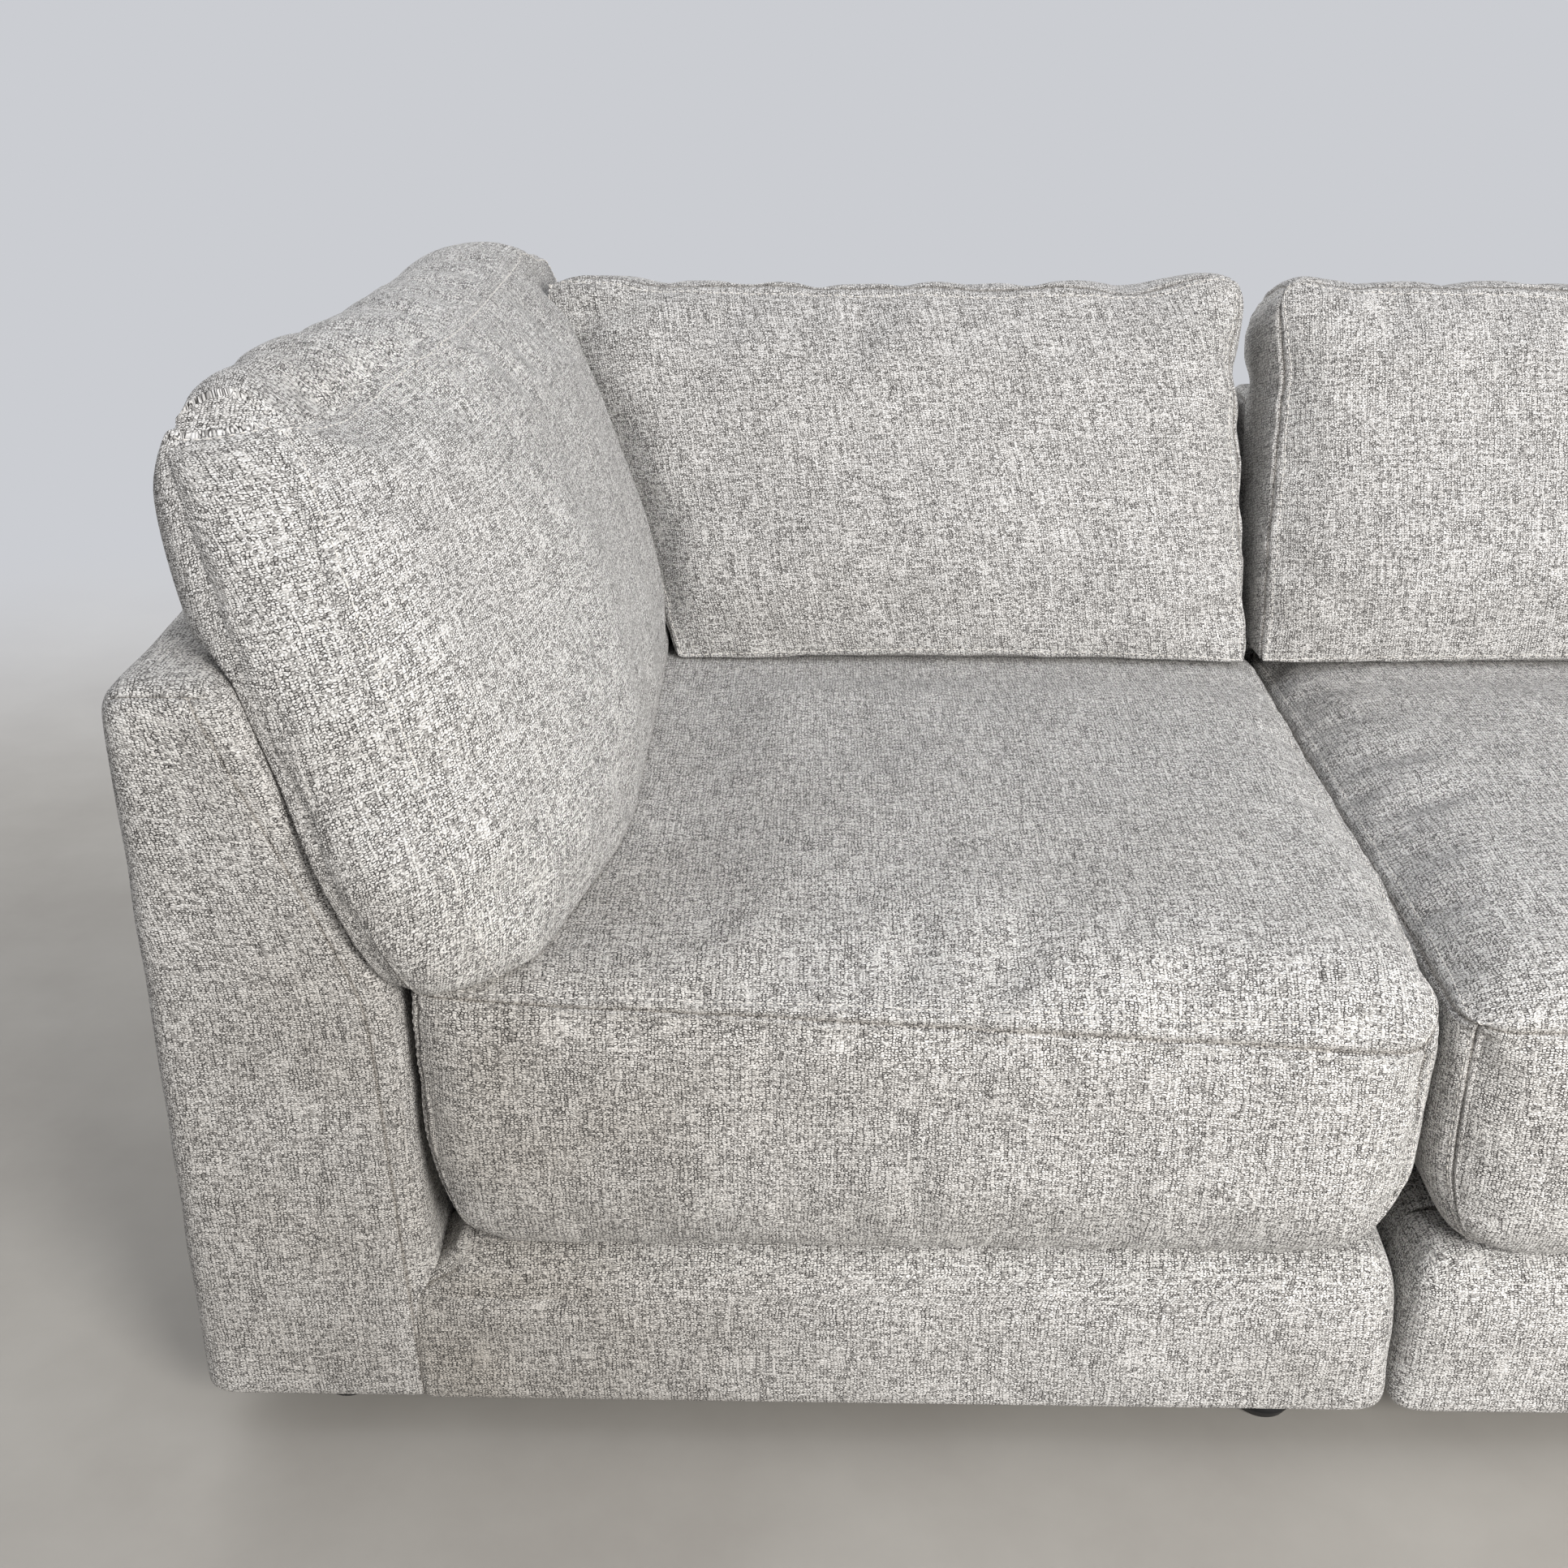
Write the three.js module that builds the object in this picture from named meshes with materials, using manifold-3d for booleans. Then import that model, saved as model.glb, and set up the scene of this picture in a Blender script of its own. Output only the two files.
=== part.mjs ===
// Three-seat sectional sofa: two mirrored corner modules with one arm each and an armless middle
// module, with loose seat, back and side cushions. +X is the sitter's left-to-right seen from the
// front, -Y is the front, +Z is up, and the floor is z = 0 under the middle of the sofa.
import * as THREE from "three";
import { mergeVertices } from "three/addons/utils/BufferGeometryUtils.js";
import Module from "manifold-3d";

const wasm = await Module();
wasm.setup();

// Driving dimensions, in millimetres.
const cornerWidth = 965; // outer arm face to the mating side
const middleWidth = 840;
const moduleDepth = 965; // front of the base to the outside back
const moduleGap = 3; // air between two modules' padded sides
const fit = 0.3; // between two pieces that touch
const softFit = 0.7; // between a cushion and what it lies on
const overrun = 5; // every cutting tool runs this far past the piece that it cuts

// Arms and backs are padded wedges of one section, thin at the top.
const panelHeight = 668;
const panelLean = 10; // the outer face leans in this far at the top
const panelTopThickness = 84;
const kneeHeight = 425; // where the inner face stops sloping steeply
const kneeThickness = 194;
const footThickness = 206;
const panelPad = 18; // foam and fabric over the frame
const panelEdgeRadius = 24;
const moduleCornerRadius = 26; // upright corners of a module
const mateEdgeRadius = 8; // upright edges where two modules meet

// Base: padded rails round a sprung platform.
const footHeight = 38;
const deckHeight = 192; // top of the platform, where the seat cushion lies
const railTop = 165;
const railThickness = 36;
const railPad = 42; // foam between a rail and the outer fabric
const rollInset = 30; // the padded top edge rolls in by this much
const rollDrop = 72; // over this height
const heelRadius = 12; // bottom edge of the base
const clothThickness = 1.5; // dust cover

// Frames inside the arms and backs.
const uprightWidth = 60;
const frameRailHeight = 95;
const windowCount = 3;

// Sinuous springs.
const springCount = 4;
const springWire = 4;
const springReach = 32; // half the width of one spring
const springPitch = 80; // one full wave
const springArch = 9;
const tieThickness = 3;
const tieCount = 2;

// Feet: tapered blocks with a threaded stud up into the frame.
const footRadius = 27;
const footTipRadius = 22;
const studRadius = 4;
const studLength = 20;
const studClearance = 0.4;
const footInset = 84; // from a mating side

// Sliding connectors under the joint between two modules.
const tongueWidth = 40;
const tongueThickness = 3;
const tongueReach = 84; // past the module's side
const tongueRoot = 120; // length of the part fixed under the module
const socketWall = 2.5;
const socketLip = 11;
const socketLength = 95;
const socketSetback = 8;
const slideFit = 0.5; // all round the tongue
const connectorPlace = 0.42; // share of the depth, from the front

// Seat cushion.
const seamHeight = 408; // top seam
const seatCrown = 36; // rise from the seam to the middle
const seatSideFit = 1; // to the module's mating side
const seatTuck = 16; // the foot of the boxing is drawn in by this much in front
const seatEndTuck = 40; // and by this much at the sides
const seatCornerRadius = 40;

// Back and side cushions lie on the slope of a back or arm and stand on the seat.
const backCushionTop = 808; // front top edge
const sideCushionTop = 845;
const backBoxing = 120; // width of the strip between front and rear
const sideBoxing = 150;
const sideNoseBoxing = 90; // the same at the front end of a side cushion
const sideNoseRun = 320; // over which it grows to the full width
const backFrontCrown = 36; // the front bulges this far past the boxing
const sideFrontCrown = 32;
const backRearCrown = 16;
const sideRearCrown = 24;
const backTopBulge = 9;
const sideTopBulge = 26;
const cushionCornerRadius = 46;
const cushionDraw = 8; // sides are drawn in between the corners
const cushionSlumpShare = 0.1; // the stuffing settles towards the foot
const cushionSink = 12; // the foot of the free shape reaches this far below the seat, and is cut flat
const sideSetback = 128; // the top of a side cushion's front end curves back by this much
const sideSetbackHeight = 560; // from this height on
const sideCushionRearGap = 2;

// Facets.
const arcSteps = 4;
const roundSides = 8;
const weld = 1e-4; // vertices closer than this are one
const seatCrownPower = 6;
const seatTuckPower = 3;
const seatEndTuckPower = 5;
const cushionCrownPower = 3.4;
const cushionSteps = 10;
const boxingSteps = 4;

const fabric = new THREE.MeshStandardMaterial({ color: 0xb9b7b2, roughness: 0.95, metalness: 0 });
const deckCloth = new THREE.MeshStandardMaterial({ color: 0x8b8a87, roughness: 0.95, metalness: 0 });
const dustCloth = new THREE.MeshStandardMaterial({ color: 0x1c1c1d, roughness: 0.9, metalness: 0 });
const timber = new THREE.MeshStandardMaterial({ color: 0xc7a877, roughness: 0.7, metalness: 0 });
const springSteel = new THREE.MeshStandardMaterial({ color: 0x55585c, roughness: 0.35, metalness: 1 });
const footPlastic = new THREE.MeshStandardMaterial({ color: 0x17181a, roughness: 0.5, metalness: 0 });
const zincSteel = new THREE.MeshStandardMaterial({ color: 0xa9adb0, roughness: 0.35, metalness: 1 });

// Solids.

// A closed geometry as a manifold solid.
function solid(geometry) {
  const bare = geometry.index ? geometry.toNonIndexed() : geometry.clone();
  bare.deleteAttribute("normal");
  bare.deleteAttribute("uv");
  const merged = mergeVertices(bare, weld);
  return new wasm.Manifold(
    new wasm.Mesh({
      numProp: 3,
      vertProperties: new Float32Array(merged.attributes.position.array),
      triVerts: new Uint32Array(merged.index.array),
    }),
  );
}

// A manifold solid as a geometry.
function geometryOf(made) {
  const mesh = made.getMesh();
  const stride = mesh.numProp;
  const positions = new Float32Array(mesh.numVert * 3);
  for (let i = 0; i < mesh.numVert; i++) {
    positions.set(mesh.vertProperties.subarray(i * stride, i * stride + 3), i * 3);
  }
  const geometry = new THREE.BufferGeometry();
  geometry.setAttribute("position", new THREE.BufferAttribute(positions, 3));
  geometry.setIndex(new THREE.BufferAttribute(new Uint32Array(mesh.triVerts), 1));
  geometry.computeVertexNormals();
  return geometry;
}

// An outline extruded along one axis, with points [y, z] for x, [x, z] for y and [x, y] for z.
function prism(axis, outline, from, to) {
  const points = outline.map(([p, q]) => (axis === "y" ? new THREE.Vector2(q, p) : new THREE.Vector2(p, q)));
  const geometry = new THREE.ExtrudeGeometry(new THREE.Shape(points), {
    depth: to - from,
    bevelEnabled: false,
  });
  geometry.translate(0, 0, from);
  const [x, y, z] = [
    new THREE.Vector3(1, 0, 0),
    new THREE.Vector3(0, 1, 0),
    new THREE.Vector3(0, 0, 1),
  ];
  const basis = new THREE.Matrix4();
  if (axis === "x") basis.makeBasis(y, z, x);
  if (axis === "y") basis.makeBasis(z, x, y);
  geometry.applyMatrix4(basis);
  return solid(geometry);
}

// A rectangular block between two corners.
function block(low, high) {
  const size = high.map((value, i) => value - low[i]);
  const geometry = new THREE.BoxGeometry(...size);
  geometry.translate(...low.map((value, i) => value + size[i] / 2));
  return solid(geometry);
}

// An upright round bar.
function bar(radius, x, y, low, high) {
  const geometry = new THREE.CylinderGeometry(radius, radius, high - low, roundSides);
  geometry.rotateX(Math.PI / 2);
  geometry.translate(x, y, (low + high) / 2);
  return solid(geometry);
}

// An outline whose corners are rounded: each point is [p, q, radius].
function rounded(corners) {
  const outline = [];
  corners.forEach(([p, q, radius], i) => {
    const corner = new THREE.Vector2(p, q);
    if (!radius) {
      outline.push([p, q]);
      return;
    }
    const before = corners[(i + corners.length - 1) % corners.length];
    const after = corners[(i + 1) % corners.length];
    const back = new THREE.Vector2(before[0], before[1]).sub(corner);
    const ahead = new THREE.Vector2(after[0], after[1]).sub(corner);
    const half = back.angleTo(ahead) / 2;
    const reach = radius / Math.tan(half);
    const middle = back.clone().normalize().add(ahead.clone().normalize()).normalize();
    const centre = corner.clone().addScaledVector(middle, radius / Math.sin(half));
    const first = corner.clone().addScaledVector(back.normalize(), reach).sub(centre);
    const last = corner.clone().addScaledVector(ahead.normalize(), reach).sub(centre);
    let turn = last.angle() - first.angle();
    if (turn > Math.PI) turn -= 2 * Math.PI;
    if (turn < -Math.PI) turn += 2 * Math.PI;
    for (let step = 0; step <= arcSteps; step++) {
      const angle = first.angle() + (turn * step) / arcSteps;
      outline.push([centre.x + radius * Math.cos(angle), centre.y + radius * Math.sin(angle)]);
    }
  });
  return outline;
}

// Sections.

// How far the inner face of an arm or back stands in from the module's outer side, at height z.
function panelFace(z) {
  const topThickness = panelLean + panelTopThickness;
  if (z >= kneeHeight) {
    const share = (z - kneeHeight) / (panelHeight - kneeHeight);
    return kneeThickness + (topThickness - kneeThickness) * share;
  }
  return kneeThickness + ((footThickness - kneeThickness) * (kneeHeight - z)) / (kneeHeight - footHeight);
}

// Section of an arm or back, [in from the outer side, z], drawn in by a margin, from the height low.
function panelSection(margin, low) {
  const top = panelHeight - margin;
  const radius = Math.max(panelEdgeRadius - margin, 0);
  const leanAt = (z) => (panelLean * (z - footHeight)) / (panelHeight - footHeight);
  return rounded([
    [leanAt(low) + margin, low, 0],
    [leanAt(top) + margin, top, radius],
    [panelFace(top) - margin, top, radius],
    [panelFace(kneeHeight) - margin, kneeHeight, 0],
    [panelFace(low) - margin, low, 0],
  ]);
}

// Outer padded edge of the base as [in from the side, z] from the heel up to the rolled top.
function baseEdge() {
  const edge = [];
  for (let step = 0; step <= arcSteps; step++) {
    const angle = (Math.PI / 2) * (step / arcSteps);
    edge.push([heelRadius * (1 - Math.sin(angle)), footHeight + heelRadius * (1 - Math.cos(angle))]);
  }
  const rollSteps = arcSteps + 2;
  for (let step = 0; step <= rollSteps; step++) {
    const angle = (Math.PI / 2) * (step / rollSteps);
    edge.push([rollInset * (1 - Math.cos(angle)), deckHeight - rollDrop * (1 - Math.sin(angle))]);
  }
  return edge;
}

// Section of a padded rail cover, [in from the side, z]: a pad down the face and a roll over the rail.
const railCoverSection = [
  ...baseEdge(),
  [railPad + railThickness, deckHeight],
  [railPad + railThickness, railTop + fit],
  [railPad, railTop + fit],
  [railPad, footHeight],
];

// Full section of the padded base seen from the front, for a module whose mating sides are named.
function baseBody(width, padded) {
  const left = padded.left ? baseEdge() : [[-overrun, footHeight], [-overrun, deckHeight]];
  const right = padded.right
    ? baseEdge().map(([inset, z]) => [width - inset, z])
    : [[width + overrun, footHeight], [width + overrun, deckHeight]];
  const plan = rounded([
    [0, 0, padded.left ? moduleCornerRadius : 0],
    [width, 0, padded.right ? moduleCornerRadius : 0],
    [width, moduleDepth, 0],
    [0, moduleDepth, 0],
  ]);
  return prism("y", [...left, ...right.reverse()], -overrun, moduleDepth).intersect(
    prism("z", plan, 0, panelHeight),
  );
}

// Places shared by the pieces of a module.

const railBottom = footHeight + fit + clothThickness + fit;
const railBack = railPad + railThickness; // front rail's rear face
const backFoot = moduleDepth - footThickness; // front of the back's foot
const rearRailFront = backFoot - fit - railThickness;
const deckBottom = railTop + fit;

// Where the base starts beside the arm, or beside a padded mating side.
function baseStart(hasArm) {
  return hasArm ? footThickness + fit : railPad + fit;
}

// Foot places of a module as [x, y].
function footPlaces(width, hasArm) {
  const near = hasArm ? footThickness / 2 : footInset;
  const rearNear = hasArm ? footThickness : footInset;
  return [
    ["front_outer", near, railPad + footRadius + fit],
    ["front_inner", width - footInset, railPad + railThickness / 2],
    ["rear_outer", rearNear, moduleDepth - footThickness / 2],
    ["rear_inner", width - footInset, moduleDepth - footThickness / 2],
  ];
}

// Cuts the stud holes of all a module's feet out of one of its pieces.
function withStudHoles(piece, places) {
  return places.reduce(
    (left, [, x, y]) =>
      left.subtract(
        bar(studRadius + studClearance, x, y, footHeight - overrun, footHeight + studLength + studClearance),
      ),
    piece,
  );
}

// Arm and back.

// Plan of a module with its outer corners rounded.
function modulePlan(width, hasArm, margin) {
  const outer = Math.max((hasArm ? moduleCornerRadius : mateEdgeRadius) - margin, 0);
  const mate = Math.max(mateEdgeRadius - margin, 0);
  return rounded([
    [margin, margin, outer],
    [width - margin, margin, 0],
    [width - margin, moduleDepth - margin, mate],
    [margin, moduleDepth - margin, outer],
  ]);
}

// Everything in front of, or behind, the mitre where an arm and a back meet.
function mitreSide(forArm, width, margin) {
  const shift = margin * Math.SQRT2 * (forArm ? -1 : 1);
  const far = width + moduleDepth;
  const [high, low] = [moduleDepth + far + shift, moduleDepth - far + shift];
  const outline = [[-far, high], [far, low], forArm ? [-far, low] : [far, high]];
  return prism("z", outline, -overrun, panelHeight + overrun);
}

// The arm as a solid wedge, drawn in by a margin on every side but the bottom.
function armBody(margin, low, frontMargin) {
  const wedge = prism("y", panelSection(margin, low), frontMargin, moduleDepth);
  const radius = Math.max(panelEdgeRadius - margin, 0);
  const face = rounded([
    [frontMargin, low, margin ? 0 : heelRadius],
    [frontMargin, panelHeight - margin, radius],
    [moduleDepth, panelHeight - margin, 0],
    [moduleDepth, low, 0],
  ]);
  return wedge
    .intersect(prism("x", face, 0, footThickness + overrun))
    .intersect(prism("z", modulePlan(cornerWidth, true, margin), low - overrun, panelHeight + overrun))
    .intersect(mitreSide(true, cornerWidth, margin || fit / 2));
}

// The back as a solid wedge, drawn in by a margin on every side but the bottom.
function backBody(width, hasArm, margin, low) {
  const section = panelSection(margin, low).map(([inset, z]) => [moduleDepth - inset, z]);
  const wedge = prism("x", section, margin, width - margin);
  const trimmed = wedge.intersect(
    prism("z", modulePlan(width, hasArm, margin), low - overrun, panelHeight + overrun),
  );
  return hasArm ? trimmed.intersect(mitreSide(false, width, margin || fit / 2)) : trimmed;
}

// Room for the dust cover under an arm or a back.
function dustRoom(width, hasArm) {
  const start = hasArm ? panelPad : railPad;
  return block(
    [start, railPad, footHeight - overrun],
    [width - railPad, moduleDepth - panelPad, railBottom],
  );
}

// Row of windows that leaves uprights between them, cut across a frame that runs along one axis.
function frameWindows(axis, from, to) {
  const low = railBottom + frameRailHeight;
  const high = panelHeight - panelPad - uprightWidth;
  const step = (to - from - uprightWidth) / windowCount;
  return Array.from({ length: windowCount }, (_, i) => {
    const start = from + uprightWidth + step * i;
    const end = start + step - uprightWidth;
    return axis === "x"
      ? block([start, 0, low], [end, moduleDepth, high])
      : block([0, start, low], [footThickness + overrun, end, high]);
  });
}

function armPieces(places, width) {
  const cavity = armBody(panelPad, footHeight - overrun, railPad);
  const cover = armBody(0, footHeight, 0).subtract(cavity).subtract(dustRoom(width, true));
  const frame = frameWindows("y", railPad + fit, moduleDepth - footThickness).reduce(
    (left, window) => left.subtract(window),
    armBody(panelPad + fit, railBottom, railPad + fit),
  );
  return { cover, frame: withStudHoles(frame, places) };
}

function backPieces(width, hasArm, places) {
  const cavity = backBody(width, hasArm, panelPad, footHeight - overrun);
  const cover = backBody(width, hasArm, 0, footHeight).subtract(cavity).subtract(dustRoom(width, hasArm));
  const start = hasArm ? footThickness : panelPad + fit;
  const frame = frameWindows("x", start, width - panelPad - fit).reduce(
    (left, window) => left.subtract(window),
    backBody(width, hasArm, panelPad + fit, railBottom),
  );
  return { cover, frame: withStudHoles(frame, places) };
}

// Base.

function frontCover(width, hasArm) {
  const start = hasArm ? footThickness + fit : 0;
  const padded = { left: !hasArm, right: true };
  return prism("x", railCoverSection, start, width).intersect(baseBody(width, padded));
}

// Padded cover of one mating side; the right one, mirrored for the left.
function sideCover(width, mirrored) {
  const section = railCoverSection.map(([inset, z]) => [mirrored ? inset : width - inset, z]);
  const low = mirrored ? 0 : width - railBack - fit;
  const roof = block([low - overrun, 0, railTop], [low + railBack + overrun, railBack + fit, panelHeight]);
  return prism("y", section, railPad + fit, backFoot - fit).subtract(roof);
}

function rails(width, hasArm, places) {
  const start = baseStart(hasArm);
  const end = width - railPad - fit;
  const sideFront = railBack + fit;
  const sideRear = rearRailFront - fit;
  const made = {
    front_rail: block([start, railPad + fit, railBottom], [end, railBack, railTop]),
    rear_rail: block([start, rearRailFront, railBottom], [end, backFoot - fit, railTop]),
  };
  const right = block([end - railThickness, sideFront, railBottom], [end, sideRear, railTop]);
  if (hasArm) return { ...made, front_rail: withStudHoles(made.front_rail, places), side_rail: right };
  const left = block([start, sideFront, railBottom], [start + railThickness, sideRear, railTop]);
  return { ...made, front_rail: withStudHoles(made.front_rail, places), left_rail: left, right_rail: right };
}

// Platform pad over the springs, between the rolled edges.
function deckPad(width, hasArm) {
  const start = hasArm ? footThickness + fit : railBack + fit;
  return block(
    [start, railBack + fit, deckBottom],
    [width - railBack - 2 * fit, backFoot - fit, deckHeight],
  );
}

function dustCover(width, hasArm, places) {
  const start = (hasArm ? panelPad : railPad) + fit;
  const low = footHeight + fit;
  const sheet = block(
    [start, railPad + fit, low],
    [width - railPad - fit, moduleDepth - panelPad - fit, low + clothThickness],
  );
  const outer = prism("z", modulePlan(width, hasArm, panelPad + fit), 0, panelHeight);
  return withStudHoles(sheet.intersect(outer), places);
}

// Path of one sinuous spring from the front rail to the rear rail, a wave that arches upwards.
class SpringPath extends THREE.Curve {
  constructor(x, from, to) {
    super();
    Object.assign(this, { x, from, to, waves: Math.floor((to - from) / springPitch) });
  }
  getPoint(t, target = new THREE.Vector3()) {
    const turn = Math.PI * (2 * this.waves * t + 0.5 * (1 - t) - 0.25);
    const sag = springArch * (1 - Math.sin(Math.PI * t));
    return target.set(
      this.x + springReach * Math.SQRT2 * Math.sin(turn),
      this.from + (this.to - this.from) * t,
      deckBottom - fit - springWire / 2 - sag,
    );
  }
  // Even steps of t put a step on each bend of the wire.
  getPointAt(t, target) {
    return this.getPoint(t, target);
  }
  getTangentAt(t, target) {
    return this.getTangent(t, target);
  }
}

function sinuousSpring(x, from, to) {
  const path = new SpringPath(x, from, to);
  const radius = springWire / 2;
  const section = [[radius, 0], [0, radius], [-radius, 0], [0, -radius]];
  const shape = new THREE.Shape(section.map((corner) => new THREE.Vector2(...corner)));
  return solid(new THREE.ExtrudeGeometry(shape, { steps: 4 * path.waves - 1, extrudePath: path }));
}

// Springs tied together by cross straps that are crimped to them.
function springUnit(width, hasArm) {
  const low = baseStart(hasArm) + (hasArm ? 0 : railThickness);
  const high = width - railBack - fit;
  const step = (high - low) / springCount;
  const [from, to] = [railBack + fit, rearRailFront - fit];
  let unit = null;
  for (let i = 0; i < springCount; i++) {
    const spring = sinuousSpring(low + step * (i + 0.5), from - springWire, to + springWire);
    unit = unit ? unit.add(spring) : spring;
  }
  const z = deckBottom - fit - springWire / 2 - springArch / 2;
  for (let i = 1; i <= tieCount; i++) {
    const y = from + ((to - from) * i) / (tieCount + 1);
    const tie = block(
      [low + step / 2 - springReach, y - tieThickness / 2, z - springArch],
      [high - step / 2 + springReach, y + tieThickness / 2, z + springArch / 2],
    );
    unit = unit.add(tie);
  }
  return unit.intersect(block([low, from, 0], [high, to, panelHeight]));
}

function foot(x, y) {
  const profile = [
    [0, 0],
    [footTipRadius, 0],
    [footRadius, footHeight / 4],
    [footRadius, footHeight],
    [studRadius, footHeight],
    [studRadius, footHeight + studLength],
    [0, footHeight + studLength],
  ].map(([r, z]) => new THREE.Vector2(r, z));
  const geometry = new THREE.LatheGeometry(profile, roundSides);
  geometry.rotateX(Math.PI / 2);
  geometry.translate(x, y, 0);
  return solid(geometry);
}

// Connectors.

const connectorY = moduleDepth * connectorPlace;
const plateTop = footHeight - fit;
const tongueTop = plateTop - socketWall - slideFit;

// Flat steel tongue fixed under a module's mating side at x = width, reaching under its neighbour.
function tongue(width) {
  const [near, far] = [connectorY - tongueWidth / 2, connectorY + tongueWidth / 2];
  const blade = block(
    [width - tongueRoot, near, tongueTop - tongueThickness],
    [width + moduleGap + tongueReach, far, tongueTop],
  );
  const packing = block([width - tongueRoot, near, tongueTop], [width - railPad, far, plateTop]);
  return blade.add(packing);
}

// Channel that takes the neighbour's tongue, open below between its lips, with its mouth towards x = 0.
function socket() {
  const half = tongueWidth / 2 + slideFit;
  const wall = half + socketWall;
  const lipTop = tongueTop - tongueThickness - slideFit;
  const lipBottom = lipTop - socketWall;
  const outline = [
    [-wall, lipBottom],
    [-half + socketLip, lipBottom],
    [-half + socketLip, lipTop],
    [-half, lipTop],
    [-half, tongueTop + slideFit],
    [half, tongueTop + slideFit],
    [half, lipTop],
    [half - socketLip, lipTop],
    [half - socketLip, lipBottom],
    [wall, lipBottom],
    [wall, plateTop],
    [-wall, plateTop],
  ].map(([y, z]) => [connectorY + y, z]);
  return prism("x", outline, socketSetback, socketSetback + socketLength);
}

// Cushions.

// Falls from 1 in the middle to 0 at the edge.
const crown = (t, power) => Math.sqrt(1 - Math.min(Math.abs(t), 1) ** power);

// Stops from -1 to 1 that crowd towards both ends.
function stops(count) {
  return Array.from({ length: count + 1 }, (_, i) => Math.sin((Math.PI / 2) * ((2 * i) / count - 1)));
}

// A closed grid over a box's six faces, each point placed by a function of (u, v, w) from -1 to 1.
function softBlock(counts, place) {
  const grids = counts.map(stops);
  const found = new Map();
  const points = [];
  const vertex = (at) => {
    const key = at.join();
    if (!found.has(key)) {
      found.set(key, points.length);
      points.push([...place(...at.map((step, axis) => grids[axis][step]))]);
    }
    return found.get(key);
  };
  const index = [];
  for (let axis = 0; axis < 3; axis++) {
    const [p, q] = [(axis + 1) % 3, (axis + 2) % 3];
    const corner = (end, i, j) => {
      const at = [0, 0, 0];
      [at[axis], at[p], at[q]] = [end, i, j];
      return vertex(at);
    };
    for (const end of [0, counts[axis]]) {
      for (let i = 0; i < counts[p]; i++) {
        for (let j = 0; j < counts[q]; j++) {
          const ring = [[i, j], [i + 1, j], [i + 1, j + 1], [i, j + 1]].map((at) => corner(end, ...at));
          if (!end) ring.reverse();
          index.push(ring[0], ring[1], ring[2], ring[0], ring[2], ring[3]);
        }
      }
    }
  }
  const geometry = new THREE.BufferGeometry();
  geometry.setAttribute("position", new THREE.Float32BufferAttribute(points.flat(), 3));
  geometry.setIndex(index);
  geometry.computeVertexNormals();
  return geometry;
}

// Rounds the corners of a rectangle of half sizes a and b to a radius, for a point in or on it.
function roundCorner(x, y, a, b, radius) {
  const core = [
    THREE.MathUtils.clamp(x, radius - a, a - radius),
    THREE.MathUtils.clamp(y, radius - b, b - radius),
  ];
  const out = new THREE.Vector2(x - core[0], y - core[1]);
  if (out.length() > radius) out.setLength(radius);
  return [core[0] + out.x, core[1] + out.y];
}

const lerp = THREE.MathUtils.lerp;
const seatTop = seamHeight + seatCrown;

// Seat cushion: crowned top, upright boxing that is drawn in at its foot, flat underside.
function seatCushion(width, hasArm) {
  const clear = panelFace(deckHeight) + softFit;
  const [start, end] = [hasArm ? clear : seatSideFit, width - seatSideFit];
  const bottom = deckHeight + softFit;
  const [halfWidth, halfDepth] = [(end - start) / 2, (moduleDepth - clear) / 2];
  return softBlock([cushionSteps, cushionSteps, boxingSteps], (u, v, w) => {
    const low = (1 - w) / 2;
    const tuck = seatTuck * low ** seatTuckPower;
    const [a, b] = [halfWidth - seatEndTuck * low ** seatEndTuckPower, halfDepth - tuck];
    const [x, y] = roundCorner(u * a, v * b, a, b, seatCornerRadius + tuck);
    const top = seamHeight + seatCrown * crown(u, seatCrownPower) * crown(v, seatCrownPower);
    return new THREE.Vector3(start + halfWidth + x, halfDepth + y, lerp(top, bottom, low));
  });
}

// A back or side cushion lies on the slope of a panel: its points are worked out as their distance in
// from the panel's outer side, their height, and a place between two ends that depend on the height.
const slope = Math.atan((kneeThickness - panelLean - panelTopThickness) / (panelHeight - kneeHeight));
const slopeFoot = panelLean + panelTopThickness + (panelHeight - seatTop) * Math.tan(slope) + softFit;

// Back and side cushions differ in these sizes. The nose is the end where u is -1.
const backShape = {
  top: backCushionTop,
  boxing: backBoxing,
  noseBoxing: backBoxing,
  frontCrown: backFrontCrown,
  rearCrown: backRearCrown,
  topBulge: backTopBulge,
};
const sideShape = {
  top: sideCushionTop,
  boxing: sideBoxing,
  noseBoxing: sideNoseBoxing,
  frontCrown: sideFrontCrown,
  rearCrown: sideRearCrown,
  topBulge: sideTopBulge,
};

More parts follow.
